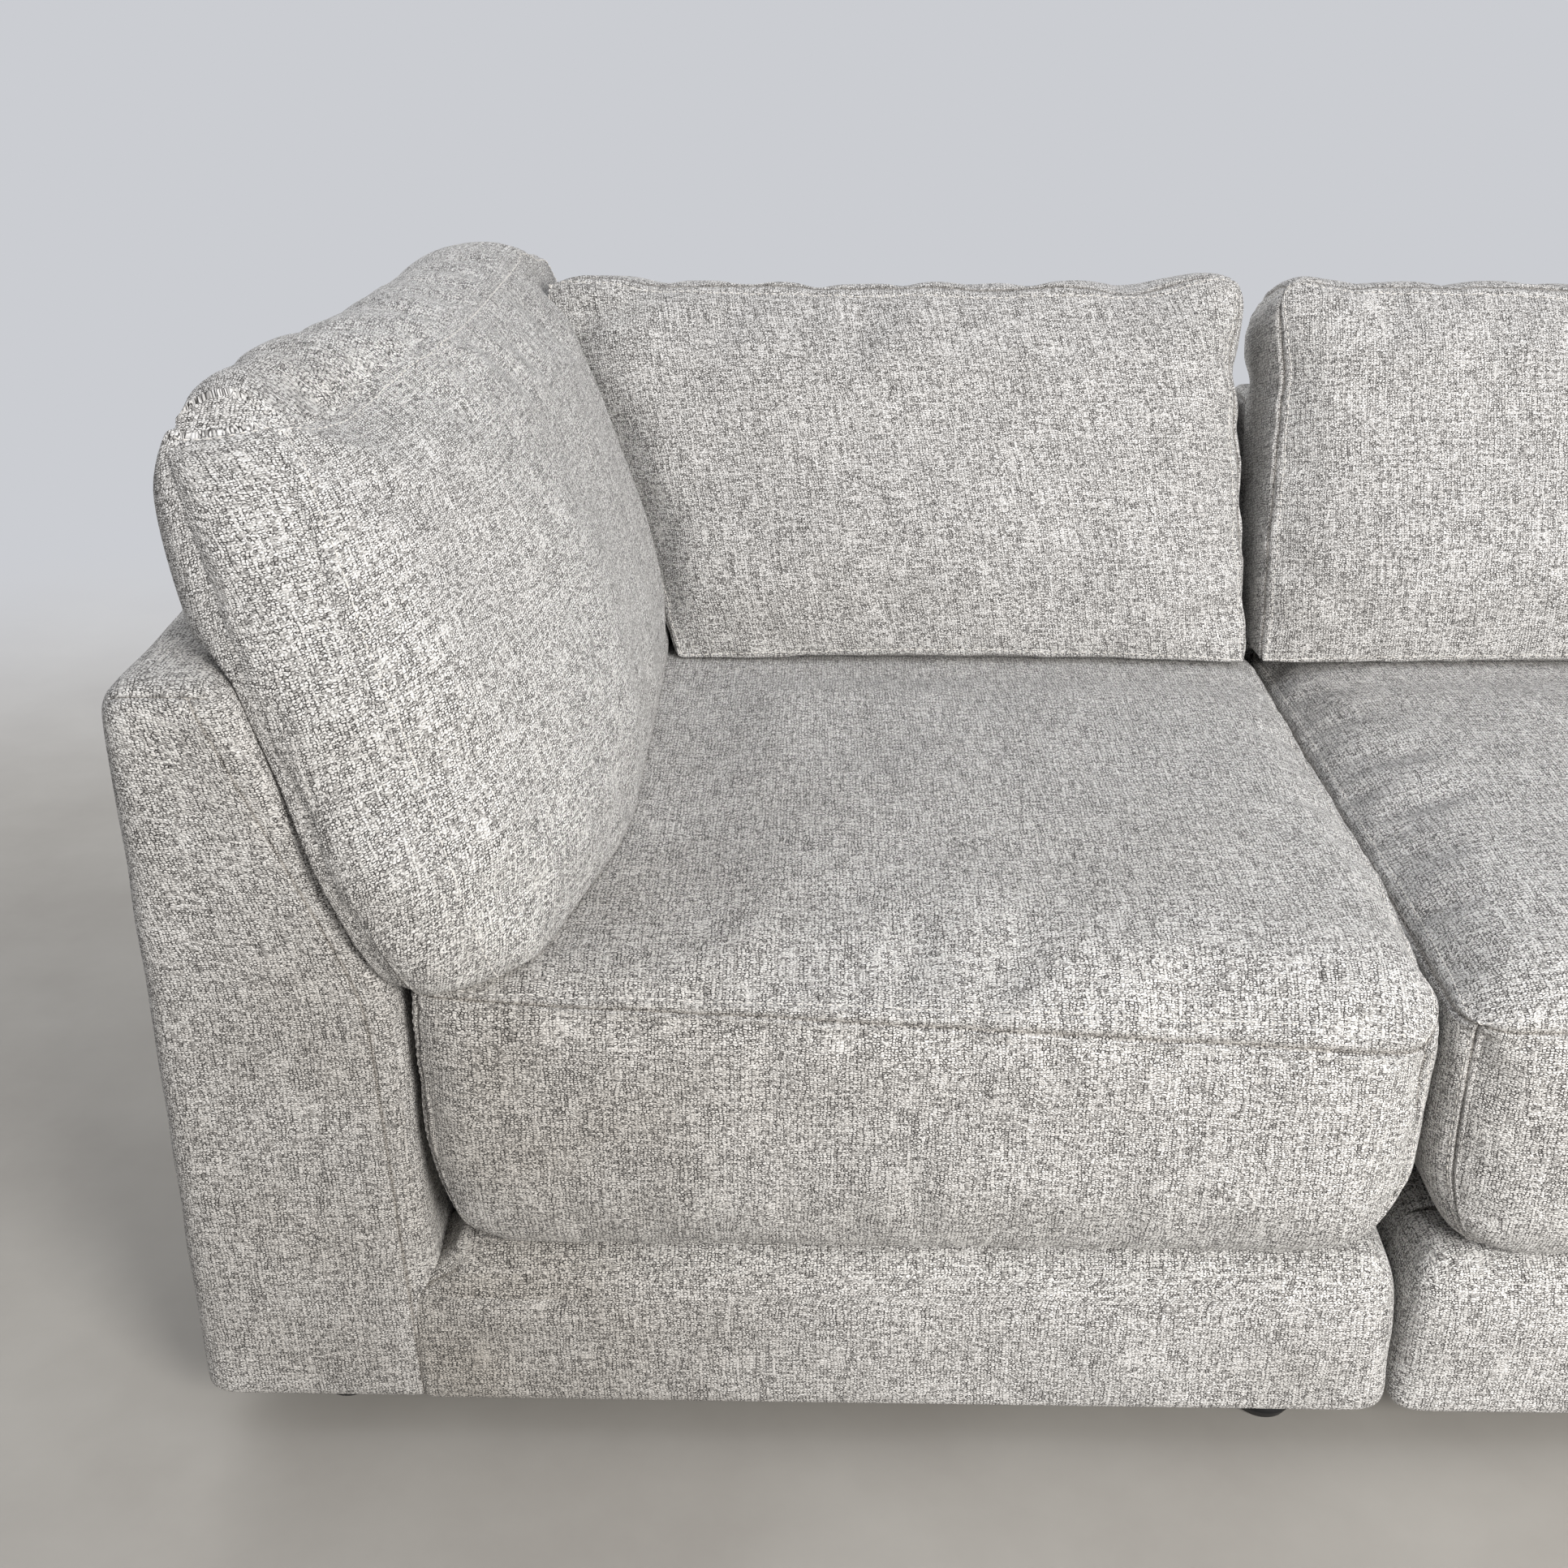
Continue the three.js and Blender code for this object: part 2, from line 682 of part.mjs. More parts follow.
function leaningCushion(shape, endsAt, place) {
  const rise = (shape.top - seatTop - shape.boxing * Math.sin(slope)) / Math.cos(slope);
  const sink = (shape.boxing + shape.frontCrown) * Math.tan(slope) + cushionSink;
  const halfHeight = (rise + sink) / 2;
  const [low, high] = endsAt(seatTop);
  const halfLength = (high - low) / 2;
  return softBlock([cushionSteps, cushionSteps - 2, boxingSteps], (u, v, w) => {
    const bulge = crown(u, cushionCrownPower) * crown(v, cushionCrownPower);
    const grown = THREE.MathUtils.smoothstep((1 + u) * halfLength, 0, sideNoseRun);
    const boxing = lerp(shape.noseBoxing, shape.boxing, grown);
    const front = boxing + shape.frontCrown * bulge * (1 - cushionSlumpShare * v);
    const through = lerp(-shape.rearCrown * bulge, front, (1 + w) / 2);
    const [a, b] = roundCorner(u * halfLength, v * halfHeight, halfLength, halfHeight, cushionCornerRadius);
    const along = a - cushionDraw * (1 - v * v) * u;
    const onTop = v === 1 ? shape.topBulge * (1 - w * w) : 0;
    const up = b - cushionDraw * (1 - u * u) * v + onTop + (rise - sink) / 2;
    const z = seatTop + up * Math.cos(slope) + through * Math.sin(slope);
    const [start, end] = endsAt(z);
    const inset = slopeFoot - up * Math.sin(slope) + through * Math.cos(slope);
    return place(inset, lerp(start, end, (1 + along / halfLength) / 2), z);
  });
}

// Plane parallel to a panel's slope, this far through a cushion that lies on it: its inset at height z.
const planeAt = (through, z) => slopeFoot + through / Math.cos(slope) - (z - seatTop) * Math.tan(slope);

// Where a corner's side cushion gives way and its back cushion starts, at height z.
const divideAt = (z) => planeAt(sideBoxing, z);

// Space that a panel fills, and the seat below, out of which a cushion is cut. Outline as [inset, z].
const keepOut = [
  [-moduleDepth, seatTop - moduleDepth],
  [moduleDepth, seatTop - moduleDepth],
  [moduleDepth, seatTop + softFit],
  [slopeFoot, seatTop + softFit],
  [panelFace(panelHeight) + softFit, panelHeight + softFit],
  [-moduleDepth, panelHeight + softFit],
];

function backCushion(width, hasArm) {
  const endsAt = (z) => [hasArm ? divideAt(z) + softFit : seatSideFit, width - seatSideFit];
  const form = leaningCushion(backShape, endsAt, (inset, along, z) => [along, moduleDepth - inset, z]);
  const outline = keepOut.map(([inset, z]) => [moduleDepth - inset, z]);
  return solid(form).subtract(prism("x", outline, -overrun, width + overrun));
}

// Space of a corner's back cushion, which presses into the side cushion.
function backCushionSpace() {
  const front = backBoxing + backFrontCrown * (1 + cushionSlumpShare) + softFit;
  const high = panelHeight * 2;
  const frontAt = (z) => moduleDepth - planeAt(front, z);
  const across = [[divideAt(0), 0], [cornerWidth, 0], [cornerWidth, high], [divideAt(high), high]];
  const deep = [[frontAt(0), 0], [2 * moduleDepth, 0], [2 * moduleDepth, high], [frontAt(high), high]];
  return prism("y", across, 0, 2 * moduleDepth).intersect(prism("x", deep, -cornerWidth, cornerWidth));
}

function sideCushion() {
  const setbackRise = sideCushionTop - sideSetbackHeight;
  const endsAt = (z) => [
    sideSetback * (Math.max(z - sideSetbackHeight, 0) / setbackRise) ** 2,
    moduleDepth - panelFace(z) - sideCushionRearGap,
  ];
  const form = leaningCushion(sideShape, endsAt, (inset, along, z) => [inset, along, z]);
  return solid(form)
    .subtract(prism("y", keepOut, -overrun, moduleDepth + overrun))
    .subtract(backCushionSpace());
}

// Assembly.

function add(group, name, shape, material) {
  const mesh = new THREE.Mesh(shape.isBufferGeometry ? shape : geometryOf(shape), material);
  mesh.name = name;
  group.add(mesh);
}

// One module in its own frame: x = 0 is its outer or left side, y = 0 its front.
function moduleGroup(name, width, hasArm) {
  const group = new THREE.Group();
  const places = footPlaces(width, hasArm);
  const back = backPieces(width, hasArm, places);
  add(group, `${name}_back_frame`, back.frame, timber);
  add(group, `${name}_back_cover`, back.cover, fabric);
  if (hasArm) {
    const arm = armPieces(places, width);
    add(group, `${name}_arm_frame`, arm.frame, timber);
    add(group, `${name}_arm_cover`, arm.cover, fabric);
    add(group, `${name}_base_side_cover`, sideCover(width, false), fabric);
    add(group, `${name}_side_cushion`, sideCushion(), fabric);
  } else {
    add(group, `${name}_base_left_cover`, sideCover(width, true), fabric);
    add(group, `${name}_base_right_cover`, sideCover(width, false), fabric);
  }
  for (const [rail, shape] of Object.entries(rails(width, hasArm, places))) {
    add(group, `${name}_${rail}`, shape, timber);
  }
  add(group, `${name}_base_front_cover`, frontCover(width, hasArm), fabric);
  add(group, `${name}_springs`, springUnit(width, hasArm), springSteel);
  add(group, `${name}_deck_pad`, deckPad(width, hasArm), deckCloth);
  add(group, `${name}_dust_cover`, dustCover(width, hasArm, places), dustCloth);
  for (const [place, x, y] of places) add(group, `${name}_foot_${place}`, foot(x, y), footPlastic);
  add(group, `${name}_seat_cushion`, seatCushion(width, hasArm), fabric);
  add(group, `${name}_back_cushion`, backCushion(width, hasArm), fabric);
  return group;
}

const sofa = new THREE.Group();
const outerSide = middleWidth / 2 + moduleGap + cornerWidth;

const left = moduleGroup("left", cornerWidth, true);
add(left, "left_connector_tongue", tongue(cornerWidth), zincSteel);
left.position.set(-outerSide, -moduleDepth / 2, 0);

const middle = moduleGroup("middle", middleWidth, false);
add(middle, "middle_connector_socket", socket(), zincSteel);
add(middle, "middle_connector_tongue", tongue(middleWidth), zincSteel);
middle.position.set(-middleWidth / 2, -moduleDepth / 2, 0);

// The right corner is the left one mirrored, with a socket in place of the tongue.
const right = moduleGroup("right", cornerWidth, true);
const rightSocket = new THREE.Group();
add(rightSocket, "right_connector_socket", socket(), zincSteel);
rightSocket.scale.x = -1;
rightSocket.position.x = cornerWidth;
right.add(rightSocket);
right.scale.x = -1;
right.position.set(outerSide, -moduleDepth / 2, 0);

sofa.add(left, middle, right);
export default sofa;
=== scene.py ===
"""Sectional sofa of three modules in a heathered woven fabric: its cushions, covers and finishes."""
import math

import bpy
import numpy as np
from mathutils import Matrix, Vector
from mathutils.bvhtree import BVHTree


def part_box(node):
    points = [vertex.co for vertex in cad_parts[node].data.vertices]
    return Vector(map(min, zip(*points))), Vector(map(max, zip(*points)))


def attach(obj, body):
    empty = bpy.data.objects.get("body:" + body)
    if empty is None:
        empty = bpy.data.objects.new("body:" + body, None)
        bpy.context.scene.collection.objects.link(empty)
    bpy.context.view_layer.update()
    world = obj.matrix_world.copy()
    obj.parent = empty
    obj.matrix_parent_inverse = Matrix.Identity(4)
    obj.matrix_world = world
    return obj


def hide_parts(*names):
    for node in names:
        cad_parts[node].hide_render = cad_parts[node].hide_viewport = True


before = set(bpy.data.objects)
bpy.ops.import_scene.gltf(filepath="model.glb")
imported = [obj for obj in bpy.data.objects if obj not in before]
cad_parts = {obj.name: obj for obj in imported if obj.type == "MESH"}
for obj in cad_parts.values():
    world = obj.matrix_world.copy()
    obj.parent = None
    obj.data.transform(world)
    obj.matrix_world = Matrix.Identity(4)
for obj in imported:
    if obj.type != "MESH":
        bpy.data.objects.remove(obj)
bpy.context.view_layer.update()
mm = 0.001


def mms(*values):
    return tuple(value * mm for value in values)


# Camera: a wide phone lens at chest height in front of the left module, tipped down at its seat.
CAMERA_AT = (-0.892, -1.581, 1.122)
CAMERA_LENS, SENSOR_WIDTH = 40.99, 36
CAMERA_YAW, CAMERA_PITCH, CAMERA_ROLL = 0.018, -0.441, 0.001

# Driving dimensions of the upholstery, in metres.
ARM_LOW, ARM_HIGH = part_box("left_arm_cover")
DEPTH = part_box("left_back_cover")[1].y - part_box("left_base_front_cover")[0].y
FOOT_HEIGHT, PANEL_HEIGHT = ARM_LOW.z, ARM_HIGH.z
FOOT_THICKNESS = ARM_HIGH.x - ARM_LOW.x
DECK_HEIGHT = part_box("left_deck_pad")[1].z
PANEL_LEAN = 10 * mm
TOP_THICKNESS = 84 * mm
KNEE_HEIGHT = 425 * mm
KNEE_THICKNESS = 194 * mm
KNEE_BLEND = 26 * mm  # the foam rounds the knee over this height each way
SOFT_FIT = 0.7 * mm

# Seat cushions.
SEAM_HEIGHT = 408 * mm
SEAT_TOP = SEAM_HEIGHT + 36 * mm
SEAT_CROWN_POWER = 6
SEAT_SIDE_FIT = 1 * mm
SEAT_TUCK, SEAT_TURN = 26 * mm, 0.19  # the lower front edge turns under, over this share of the height
SEAT_END_TUCK, SEAT_END_POWER = 40 * mm, 5
SEAT_CORNER = 40 * mm
SEAT_ARM_CORNER = 16 * mm
SEAT_SHOULDER = 44 * mm  # the filling stands up along the other end of a corner's seat
SEAT_SWELL = 10 * mm  # room that the top has to swell, away from the cushions that stand on it
SEAT_SWELL_RUN = 90 * mm
SEAT_SEAM_FALL = 46 * mm  # the worn seam falls from the arm to the other end by this, and less further back
SEAT_SEAM_FALL_RUN = 0.6

# Back and side cushions.
BACK_CUSHION_TOP = 808 * mm
BACK_BOXING = 120 * mm
BACK_FRONT_CROWN, BACK_REAR_CROWN, BACK_TOP_CROWN = mms(36, 16, 9)
BACK_TAPER = 14 * mm  # a back cushion narrows towards its top at each free end
BACK_FREE_GAP = 16 * mm  # what a corner's back cushion leaves at its free end
BACK_WIDENING = 0.7 * BACK_FREE_GAP  # what the middle one takes of that
BACK_PRESS = 3 * mm  # how far it may swell past its end
BACK_LOW_CORNER = 20 * mm
BACK_SINK = -7 * mm  # the lower seam of a back cushion stands just clear of the seat
SIDE_CUSHION_TOP = 845 * mm
SIDE_BOXING = 150 * mm
SIDE_FRONT_CROWN, SIDE_REAR_CROWN, SIDE_TOP_CROWN = mms(35, 50, 26)
SIDE_NOSE_BOXING, SIDE_NOSE_RUN = 100 * mm, 300 * mm
SIDE_NOSE_RADIUS = 66 * mm  # the side cushion's face turns round its front end
SIDE_NOSE_SEAM = 0.18  # share of the boxing behind the seam of that end
SIDE_NOSE_TOP, SIDE_NOSE_TOP_RUN = 49 * mm, 280 * mm  # radius over the top of that end, and where it runs out
SIDE_NOSE_LIFT, SIDE_NOSE_LIFT_AT = 31 * mm, (0.1, 0.45)  # the stuffing stands up at the front of the top
SIDE_TAIL_FALL, SIDE_TAIL_FALL_AT = 76 * mm, (0.6, 0.36)
SIDE_TOP_AT = (-0.2, 1.2)  # shares of the height over which the lift and the fall come in
SIDE_FOOT_TUCK, SIDE_FOOT_POWER = 31 * mm, 4
SIDE_OVERHANG, SIDE_OVERHANG_AT = 24 * mm, (0.52, 0.09)  # the foot bulges over the front of the seat
SIDE_FOOT_ROUND, SIDE_FOOT_TOP, SIDE_FOOT_HEIGHT = mms(55, 491, 75)
SIDE_SETBACK, SIDE_SETBACK_HEIGHT = 128 * mm, 560 * mm
SIDE_REAR_GAP = 2 * mm
SIDE_DENT, SIDE_DENT_RUN = 60 * mm, 50 * mm  # the back cushion presses into the rear half of the side cushion
SIDE_SINK = 12 * mm
SIDE_DRAWN, SIDE_DRAWN_RUN = 0.3, 90 * mm  # its stuffing fills out every seam but that of the foot
CUSHION_POWER = 3.4
CUSHION_CORNER = 46 * mm
CUSHION_DRAW = 8 * mm
CUSHION_FIRM = 60 * mm  # its cloth gives ever more over this height
SLUMP_SHARE = 0.1
EAR_REACH, EAR_SPREAD = 48 * mm, 0.55
PINCH_SHARE, PINCH_POWER = 0.45, 12  # the seams are drawn in beside the ears
PINCH_AT, PINCH_REACH, PINCH_EDGE = mms(92, 26, 30)

# Seams and stitches.
SEAM_RINGS = mms(0, 4, 8, 13)  # grid lines at these distances from a seam
SEAM_PROFILE = mms(-4.2, 1.4, -1.8, 0)  # height of the cloth at those lines
# How far the painted shade and dust of a seam reach from it.
SEAM_DUST_AND_SHADE = 3 * mm
STITCH_INSET = SEAM_RINGS[2]
STITCH_LENGTH, STITCH_PITCH, THREAD = mms(5.2, 7.4, 1.3)


class Module:
    """Turns a module's own coordinates, with x from its outer side and y from its front, into the sofa's."""

    def __init__(self, name, has_arm, mirrored):
        self.name, self.has_arm, self.mirrored = name, has_arm, mirrored
        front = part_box(f"{name}_base_front_cover")
        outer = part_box(f"{name}_arm_cover") if has_arm else front
        self.low = min(front[0].x, outer[0].x)
        self.high = max(front[1].x, outer[1].x)
        self.front = front[0].y
        self.width = self.high - self.low

    def place(self, points):
        x, y, z = points.T
        return columns(self.high - x if self.mirrored else self.low + x, y + self.front, z)

    def body(self, part="module"):
        return f"{self.name}_{part}"


LEFT = Module("left", True, False)
MIDDLE = Module("middle", False, False)
RIGHT = Module("right", True, True)
CORNER = LEFT.width


# Mesh tools.

def lerp(a, b, share):
    return a + (b - a) * share


def fade(value, start, run):
    """Rises smoothly from 0 to 1 from the start over the run."""
    share = np.clip((value - start) / run, 0, 1)
    return share * share * (3 - 2 * share)


def crown(t, power):
    """Falls from 1 in the middle to 0 at the edge."""
    return np.sqrt(1 - np.minimum(np.abs(t), 1) ** power)


def quarter(share, most=1):
    """How far a quarter round stands in, from 0 at its start to 1 at its end."""
    return 1 - np.sqrt(1 - np.clip(share, 0, most) ** 2)


def bell(distance, reach):
    return np.exp(-((distance / reach) ** 2))


def columns(*values):
    return np.stack(np.broadcast_arrays(*values), 1)


def ripple(points, wavelength, height, seed, waves=10):
    """A smooth random field of about this height, with waves of about this length."""
    draw = np.random.RandomState(seed)
    total = np.zeros(len(points))
    for _ in range(waves):
        direction = draw.normal(size=3)
        direction *= 2 * math.pi / (np.linalg.norm(direction) * wavelength * draw.uniform(0.7, 1.5))
        total += np.cos(points @ direction + draw.uniform(0, 2 * math.pi))
    return total / math.sqrt(waves / 2) * height


def stops(low, high, step, rings=(), extra=()):
    """Rising grid lines between two ends, with rings of lines near both and a few set ones."""
    ends = [low + r for r in rings] + [high - r for r in rings]
    inner = (low + max(rings, default=0), high - max(rings, default=0))
    count = max(int(round((inner[1] - inner[0]) / step)), 1)
    found = set(ends) | set(extra) | {low, high}
    for value in np.linspace(*inner, count + 1):
        if min(abs(value - other) for other in found) > step * 0.3:
            found.add(value)
    return np.array(sorted(found))


class Skin:
    """A closed skin of quads over the six sides of a box that is divided at its stops."""

    def __init__(self, *axes):
        self.stops = axes
        shape = [len(a) for a in axes]
        corners, sides = [], []
        for axis in range(3):
            p, q = (axis + 1) % 3, (axis + 2) % 3
            i, j = (g.ravel() for g in np.meshgrid(range(shape[p] - 1), range(shape[q] - 1), indexing="ij"))
            for end in (0, 1):
                quad = np.zeros((len(i), 4, 3), int)
                quad[:, :, axis] = (shape[axis] - 1) * end
                quad[:, :, p] = i[:, None] + np.array([0, 1, 1, 0])
                quad[:, :, q] = j[:, None] + np.array([0, 0, 1, 1])
                corners.append(quad if end else quad[:, ::-1])
                sides.append(np.full(len(i), 2 * axis + end))
        flat = np.ravel_multi_index(np.moveaxis(np.concatenate(corners), 2, 0), shape)
        found, faces = np.unique(flat, return_inverse=True)
        self.faces = faces.reshape(-1, 4)
        self.sides = np.concatenate(sides)
        self.index = np.array(np.unravel_index(found, shape)).T
        self.at = columns(*(line[i] for line, i in zip(axes, self.index.T)))
        self.number = np.full(shape, -1)
        self.number[tuple(self.index.T)] = np.arange(len(found))
        self.ends = np.array([(s[0], s[-1]) for s in axes])

    def on(self, axis, end):
        """Whether each vertex lies on one side of the box."""
        return self.index[:, axis] == (len(self.stops[axis]) - 1 if end else 0)

    def seam_distance(self, plain=(), lines=()):
        """How far each vertex lies from the nearest seam, along its own side of the box. The box's edges
        are seams, but for the plain ones; lines are more seams, as (axis, end, other axis, value)."""
        total = np.full(len(self.at), np.inf)
        seams = [
            (p, e, q, self.ends[q][f]) for p in range(3) for e in (0, 1) for q in range(3) for f in (0, 1)
            if q != p and {(p, e), (q, f)} not in plain
        ]
        for axis, end, other, value in seams + list(lines):
            on = self.on(axis, end)
            total[on] = np.minimum(total[on], np.abs(self.at[on, other] - value))
        return total

    def line(self, axis, fixed, start, end):
        """Vertices from one stop to another along an axis, with the other two axes held at stops."""
        def nearest(a, value):
            return int(np.abs(self.stops[a] - value).argmin())

        first, last = nearest(axis, start), nearest(axis, end)
        step = 1 if last >= first else -1
        place = {a: nearest(a, value) for a, value in fixed.items()}
        return self.number[tuple(place.get(a, np.arange(first, last + step, step)) for a in range(3))]

    def ring(self, axis, end, inset):
        """Vertices round one side of the box, this far in from its edges."""
        p, q = (axis + 1) % 3, (axis + 2) % 3
        (pl, ph), (ql, qh) = self.ends[p] + (inset, -inset), self.ends[q] + (inset, -inset)
        level = {axis: self.ends[axis][end]}
        return np.concatenate([
            self.line(p, {**level, q: ql}, pl, ph)[:-1],
            self.line(q, {**level, p: ph}, ql, qh)[:-1],
            self.line(p, {**level, q: qh}, ph, pl)[:-1],
            self.line(q, {**level, p: pl}, qh, ql),
        ])


def face_normals(points, faces):
    a, b, c, d = (points[faces[:, i]] for i in range(4))
    return np.cross(c - a, d - b)


def pushed(points, faces, amounts):
    """Moves each vertex out of the skin by its own amount."""
    total = np.zeros_like(points)
    flat = face_normals(points, faces)
    for i in range(4):
        np.add.at(total, faces[:, i], flat)
    return points + total / np.maximum(np.linalg.norm(total, axis=1, keepdims=True), 1e-12) * amounts[:, None]


# The panels of a cover are cut from the cloth one beside the other, from CUSHION_SHIFT panels along.
PANEL_SHIFT = np.array([1.37, 0.71])
CUSHION_SHIFT = 0.3
EASE = 0.4  # natural log of the most that the cloth stretches


def lengths(grid, axis):
    """How far along its cloth each point of a grid lies, from the grid's middle."""
    steps = np.linalg.norm(np.diff(grid, axis=axis), axis=2)
    total = np.cumsum(np.insert(steps, 0, 0, axis=axis), axis=axis)
    return total - np.take(total, [total.shape[axis] // 2], axis=axis)


def cloth_places(skin, points, side):
    """Where in the cloth each vertex of one side is cut from, in metres, so that no yarn is stretched."""
    axis, end = divmod(side, 2)
    ids = np.take(skin.number, -end, axis=axis)
    grid = points[ids]
    found = np.zeros((len(points), 2))
    found[ids] = np.stack([lengths(grid, 0), lengths(grid, 1)], -1)
    return found


def panel_uv(skin, points, shift=CUSHION_SHIFT):
    """Places in the cloth that each quad's corners are cut from, side by side."""
    uv = np.zeros(skin.faces.shape + (2,))
    for side in range(6):
        chosen = skin.sides == side
        uv[chosen] = cloth_places(skin, points, side)[skin.faces[chosen]] + shift * (side + 1) * PANEL_SHIFT
    return uv


def eased(uv, points, faces):
    """Cuts each quad flat whose cloth would otherwise be stretched round a tight corner."""
    corners = points[faces]
    across = np.stack([corners[:, 2] - corners[:, 0], corners[:, 3] - corners[:, 1]], 1)
    cut = np.stack([uv[:, 2] - uv[:, 0], uv[:, 3] - uv[:, 1]], 1)
    normal = np.cross(across[:, 0], across[:, 1])
    real = np.append(np.linalg.norm(across, axis=2), np.linalg.norm(normal, axis=1)[:, None], 1)
    flat = np.append(np.linalg.norm(cut, axis=2), np.abs(np.cross(cut[:, 0], cut[:, 1]))[:, None], 1)
    stretch = np.abs(np.log(np.maximum(real, 1e-9) / np.maximum(flat, 1e-9))).max(1)
    facing = np.abs(normal).argmax(1)
    found = uv.copy()
    for axis, seen in enumerate(((1, 2), (0, 2), (0, 1))):
        chosen = (stretch > EASE) & (facing == axis)
        found[chosen] = corners[chosen][..., seen]
    return found


def show(name, data):
    made = bpy.data.objects.new(name, data)
    bpy.context.scene.collection.objects.link(made)
    return made


def add_object(name, points, faces, material=None, uv=None, flip=False, lids=()):
    """A smooth mesh object from arrays; flip turns the faces of a mirrored piece, and lids are more faces."""
    turn = -1 if flip else 1
    mesh = bpy.data.meshes.new(name)
    mesh.from_pydata(points.tolist(), [], faces[:, ::turn].tolist() + list(lids))
    if uv is not None:
        layer = mesh.uv_layers.new(name="weave")
        layer.uv.foreach_set("vector", eased(uv, points, faces)[:, ::turn].astype(np.float32).ravel())
    mesh.polygons.foreach_set("use_smooth", np.ones(len(mesh.polygons), bool))
    if material:
        mesh.materials.append(material)
    return show(name, mesh)


def subdivide(piece):
    made = piece.modifiers.new("fine", "SUBSURF")
    made.levels = made.render_levels = 1
    made.boundary_smooth = "PRESERVE_CORNERS"


def tube_faces(rings, sides):
    """Quads of a tube whose rings of points follow one another."""
    return np.array([
        (r * sides + s, r * sides + (s + 1) % sides, (r + 1) * sides + (s + 1) % sides, (r + 1) * sides + s)
        for r in range(rings - 1) for s in range(sides)
    ])


def soft_box(points, low, high, radii_low, radii_high):
    """Rounds the edges of a box, with one radius for each end of each axis; 0 keeps an edge sharp."""
    low, high, radii_low, radii_high = (
        np.broadcast_to(values, points.shape) for values in (low, high, radii_low, radii_high)
    )
    core = np.clip(points, low + radii_low, np.maximum(high - radii_high, low + radii_low))
    out = points - core
    radii = np.where(out < 0, radii_low, radii_high)
    unit = np.divide(out, radii, out=np.zeros_like(out), where=radii > 0)
    return core + out / np.maximum(np.linalg.norm(unit, axis=1, keepdims=True), 1)


def ride(piece, body, slot, *nodes):
    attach(piece, body)
    if nodes:
        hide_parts(*nodes)


def mark(piece, name, amounts):
    layer = piece.data.attributes.new(name, "FLOAT", "POINT")
    layer.data.foreach_set("value", amounts.astype(np.float32))


def soil_and_shade(piece, spots):
    """Marks soiled places and places of painted shade, each a (x, y, z, radius, strength) in the sofa's
    coordinates.
    """
    places = np.zeros(len(piece.data.vertices) * 3)
    piece.data.vertices.foreach_get("co", places)
    places = places.reshape(-1, 3)
    total = sum(
        (power * bell(np.linalg.norm(places - at, axis=1), radius) for *at, radius, power in spots),
        np.zeros(len(places)),
    )
    mark(piece, "soil_and_shade", np.clip(total, 0, 1))


# Stitches.

STRAND_RINGS, STRAND_SIDES = 5, 5


def resample(path, pitch):
    """Points at an even pitch along a path, with the path's direction at each."""
    places = np.append(0, np.cumsum(np.linalg.norm(np.diff(path, axis=0), axis=1)))
    count = int(places[-1] / pitch)
    wanted = (np.arange(count) + 0.5) * places[-1] / count
    points, ahead, behind = (
        columns(*(np.interp(wanted + move, places, line) for line in path.T))
        for move in (0, pitch / 4, -pitch / 4)
    )
    return points, ahead - behind


def stitches(name, piece, paths, material):
    """A row of thread stitches that lie on a piece along each path, each a short bent strand."""
    tree = BVHTree.FromObject(piece, bpy.context.evaluated_depsgraph_get())
    along = np.linspace(-1, 1, STRAND_RINGS)
    thick = np.sqrt(np.maximum(1 - along**4, 0.12))
    turn = np.arange(STRAND_SIDES) * 2 * math.pi / STRAND_SIDES
    strand = np.array([
        (a * STITCH_LENGTH, math.cos(t) * s * THREAD, (0.55 - a * a + math.sin(t) * s * 0.8) * THREAD)
        for a, s in zip(along, thick) for t in turn
    ]) / 2
    cells = tube_faces(STRAND_RINGS, STRAND_SIDES)
    points, faces = [], []
    for path in paths:
        for point, ahead in zip(*resample(path, STITCH_PITCH)):
            found, normal, *_ = tree.find_nearest(Vector(point))
            across = normal.cross(Vector(ahead).normalized()).normalized()
            faces.append(cells + len(points) * len(strand))
            points.append(strand @ np.array([across.cross(normal), across, normal]) + np.array(found))
    return add_object(name, np.concatenate(points), np.concatenate(faces), material)


def panel_stitches(skin, points):
    """Paths of the top stitching: round the front or top panel, and beside the boxing's corner seams."""
    inset = np.array([STITCH_INSET, -STITCH_INSET])
    return [points[skin.ring(2, 1, STITCH_INSET)]] + [
        points[skin.line(2, {0: end, 1: side}, *(skin.ends[2] + inset))]
        for end in skin.ends[0] for side in skin.ends[1] + inset
    ]


# Sections of the arms and backs.

def panel_face(z):
    """How far the inner face of an arm or back stands in from the module's outer side, at height z."""
    top = PANEL_LEAN + TOP_THICKNESS
    above = lerp(KNEE_THICKNESS, top, (z - KNEE_HEIGHT) / (PANEL_HEIGHT - KNEE_HEIGHT))
    below = lerp(KNEE_THICKNESS, FOOT_THICKNESS, (KNEE_HEIGHT - z) / (KNEE_HEIGHT - FOOT_HEIGHT))
    return np.where(z >= KNEE_HEIGHT, above, below)


def soft_face(z):
    """The same face with the foam's rounded knee."""
    return (panel_face(z - KNEE_BLEND) + 2 * panel_face(z) + panel_face(z + KNEE_BLEND)) / 4


def lean(z):
    return PANEL_LEAN * (z - FOOT_HEIGHT) / (PANEL_HEIGHT - FOOT_HEIGHT)


SLOPE = math.atan((KNEE_THICKNESS - PANEL_LEAN - TOP_THICKNESS) / (PANEL_HEIGHT - KNEE_HEIGHT))
SLOPE_FOOT = float(panel_face(SEAT_TOP)) + SOFT_FIT
SEAT_CLEAR = float(panel_face(DECK_HEIGHT)) + SOFT_FIT


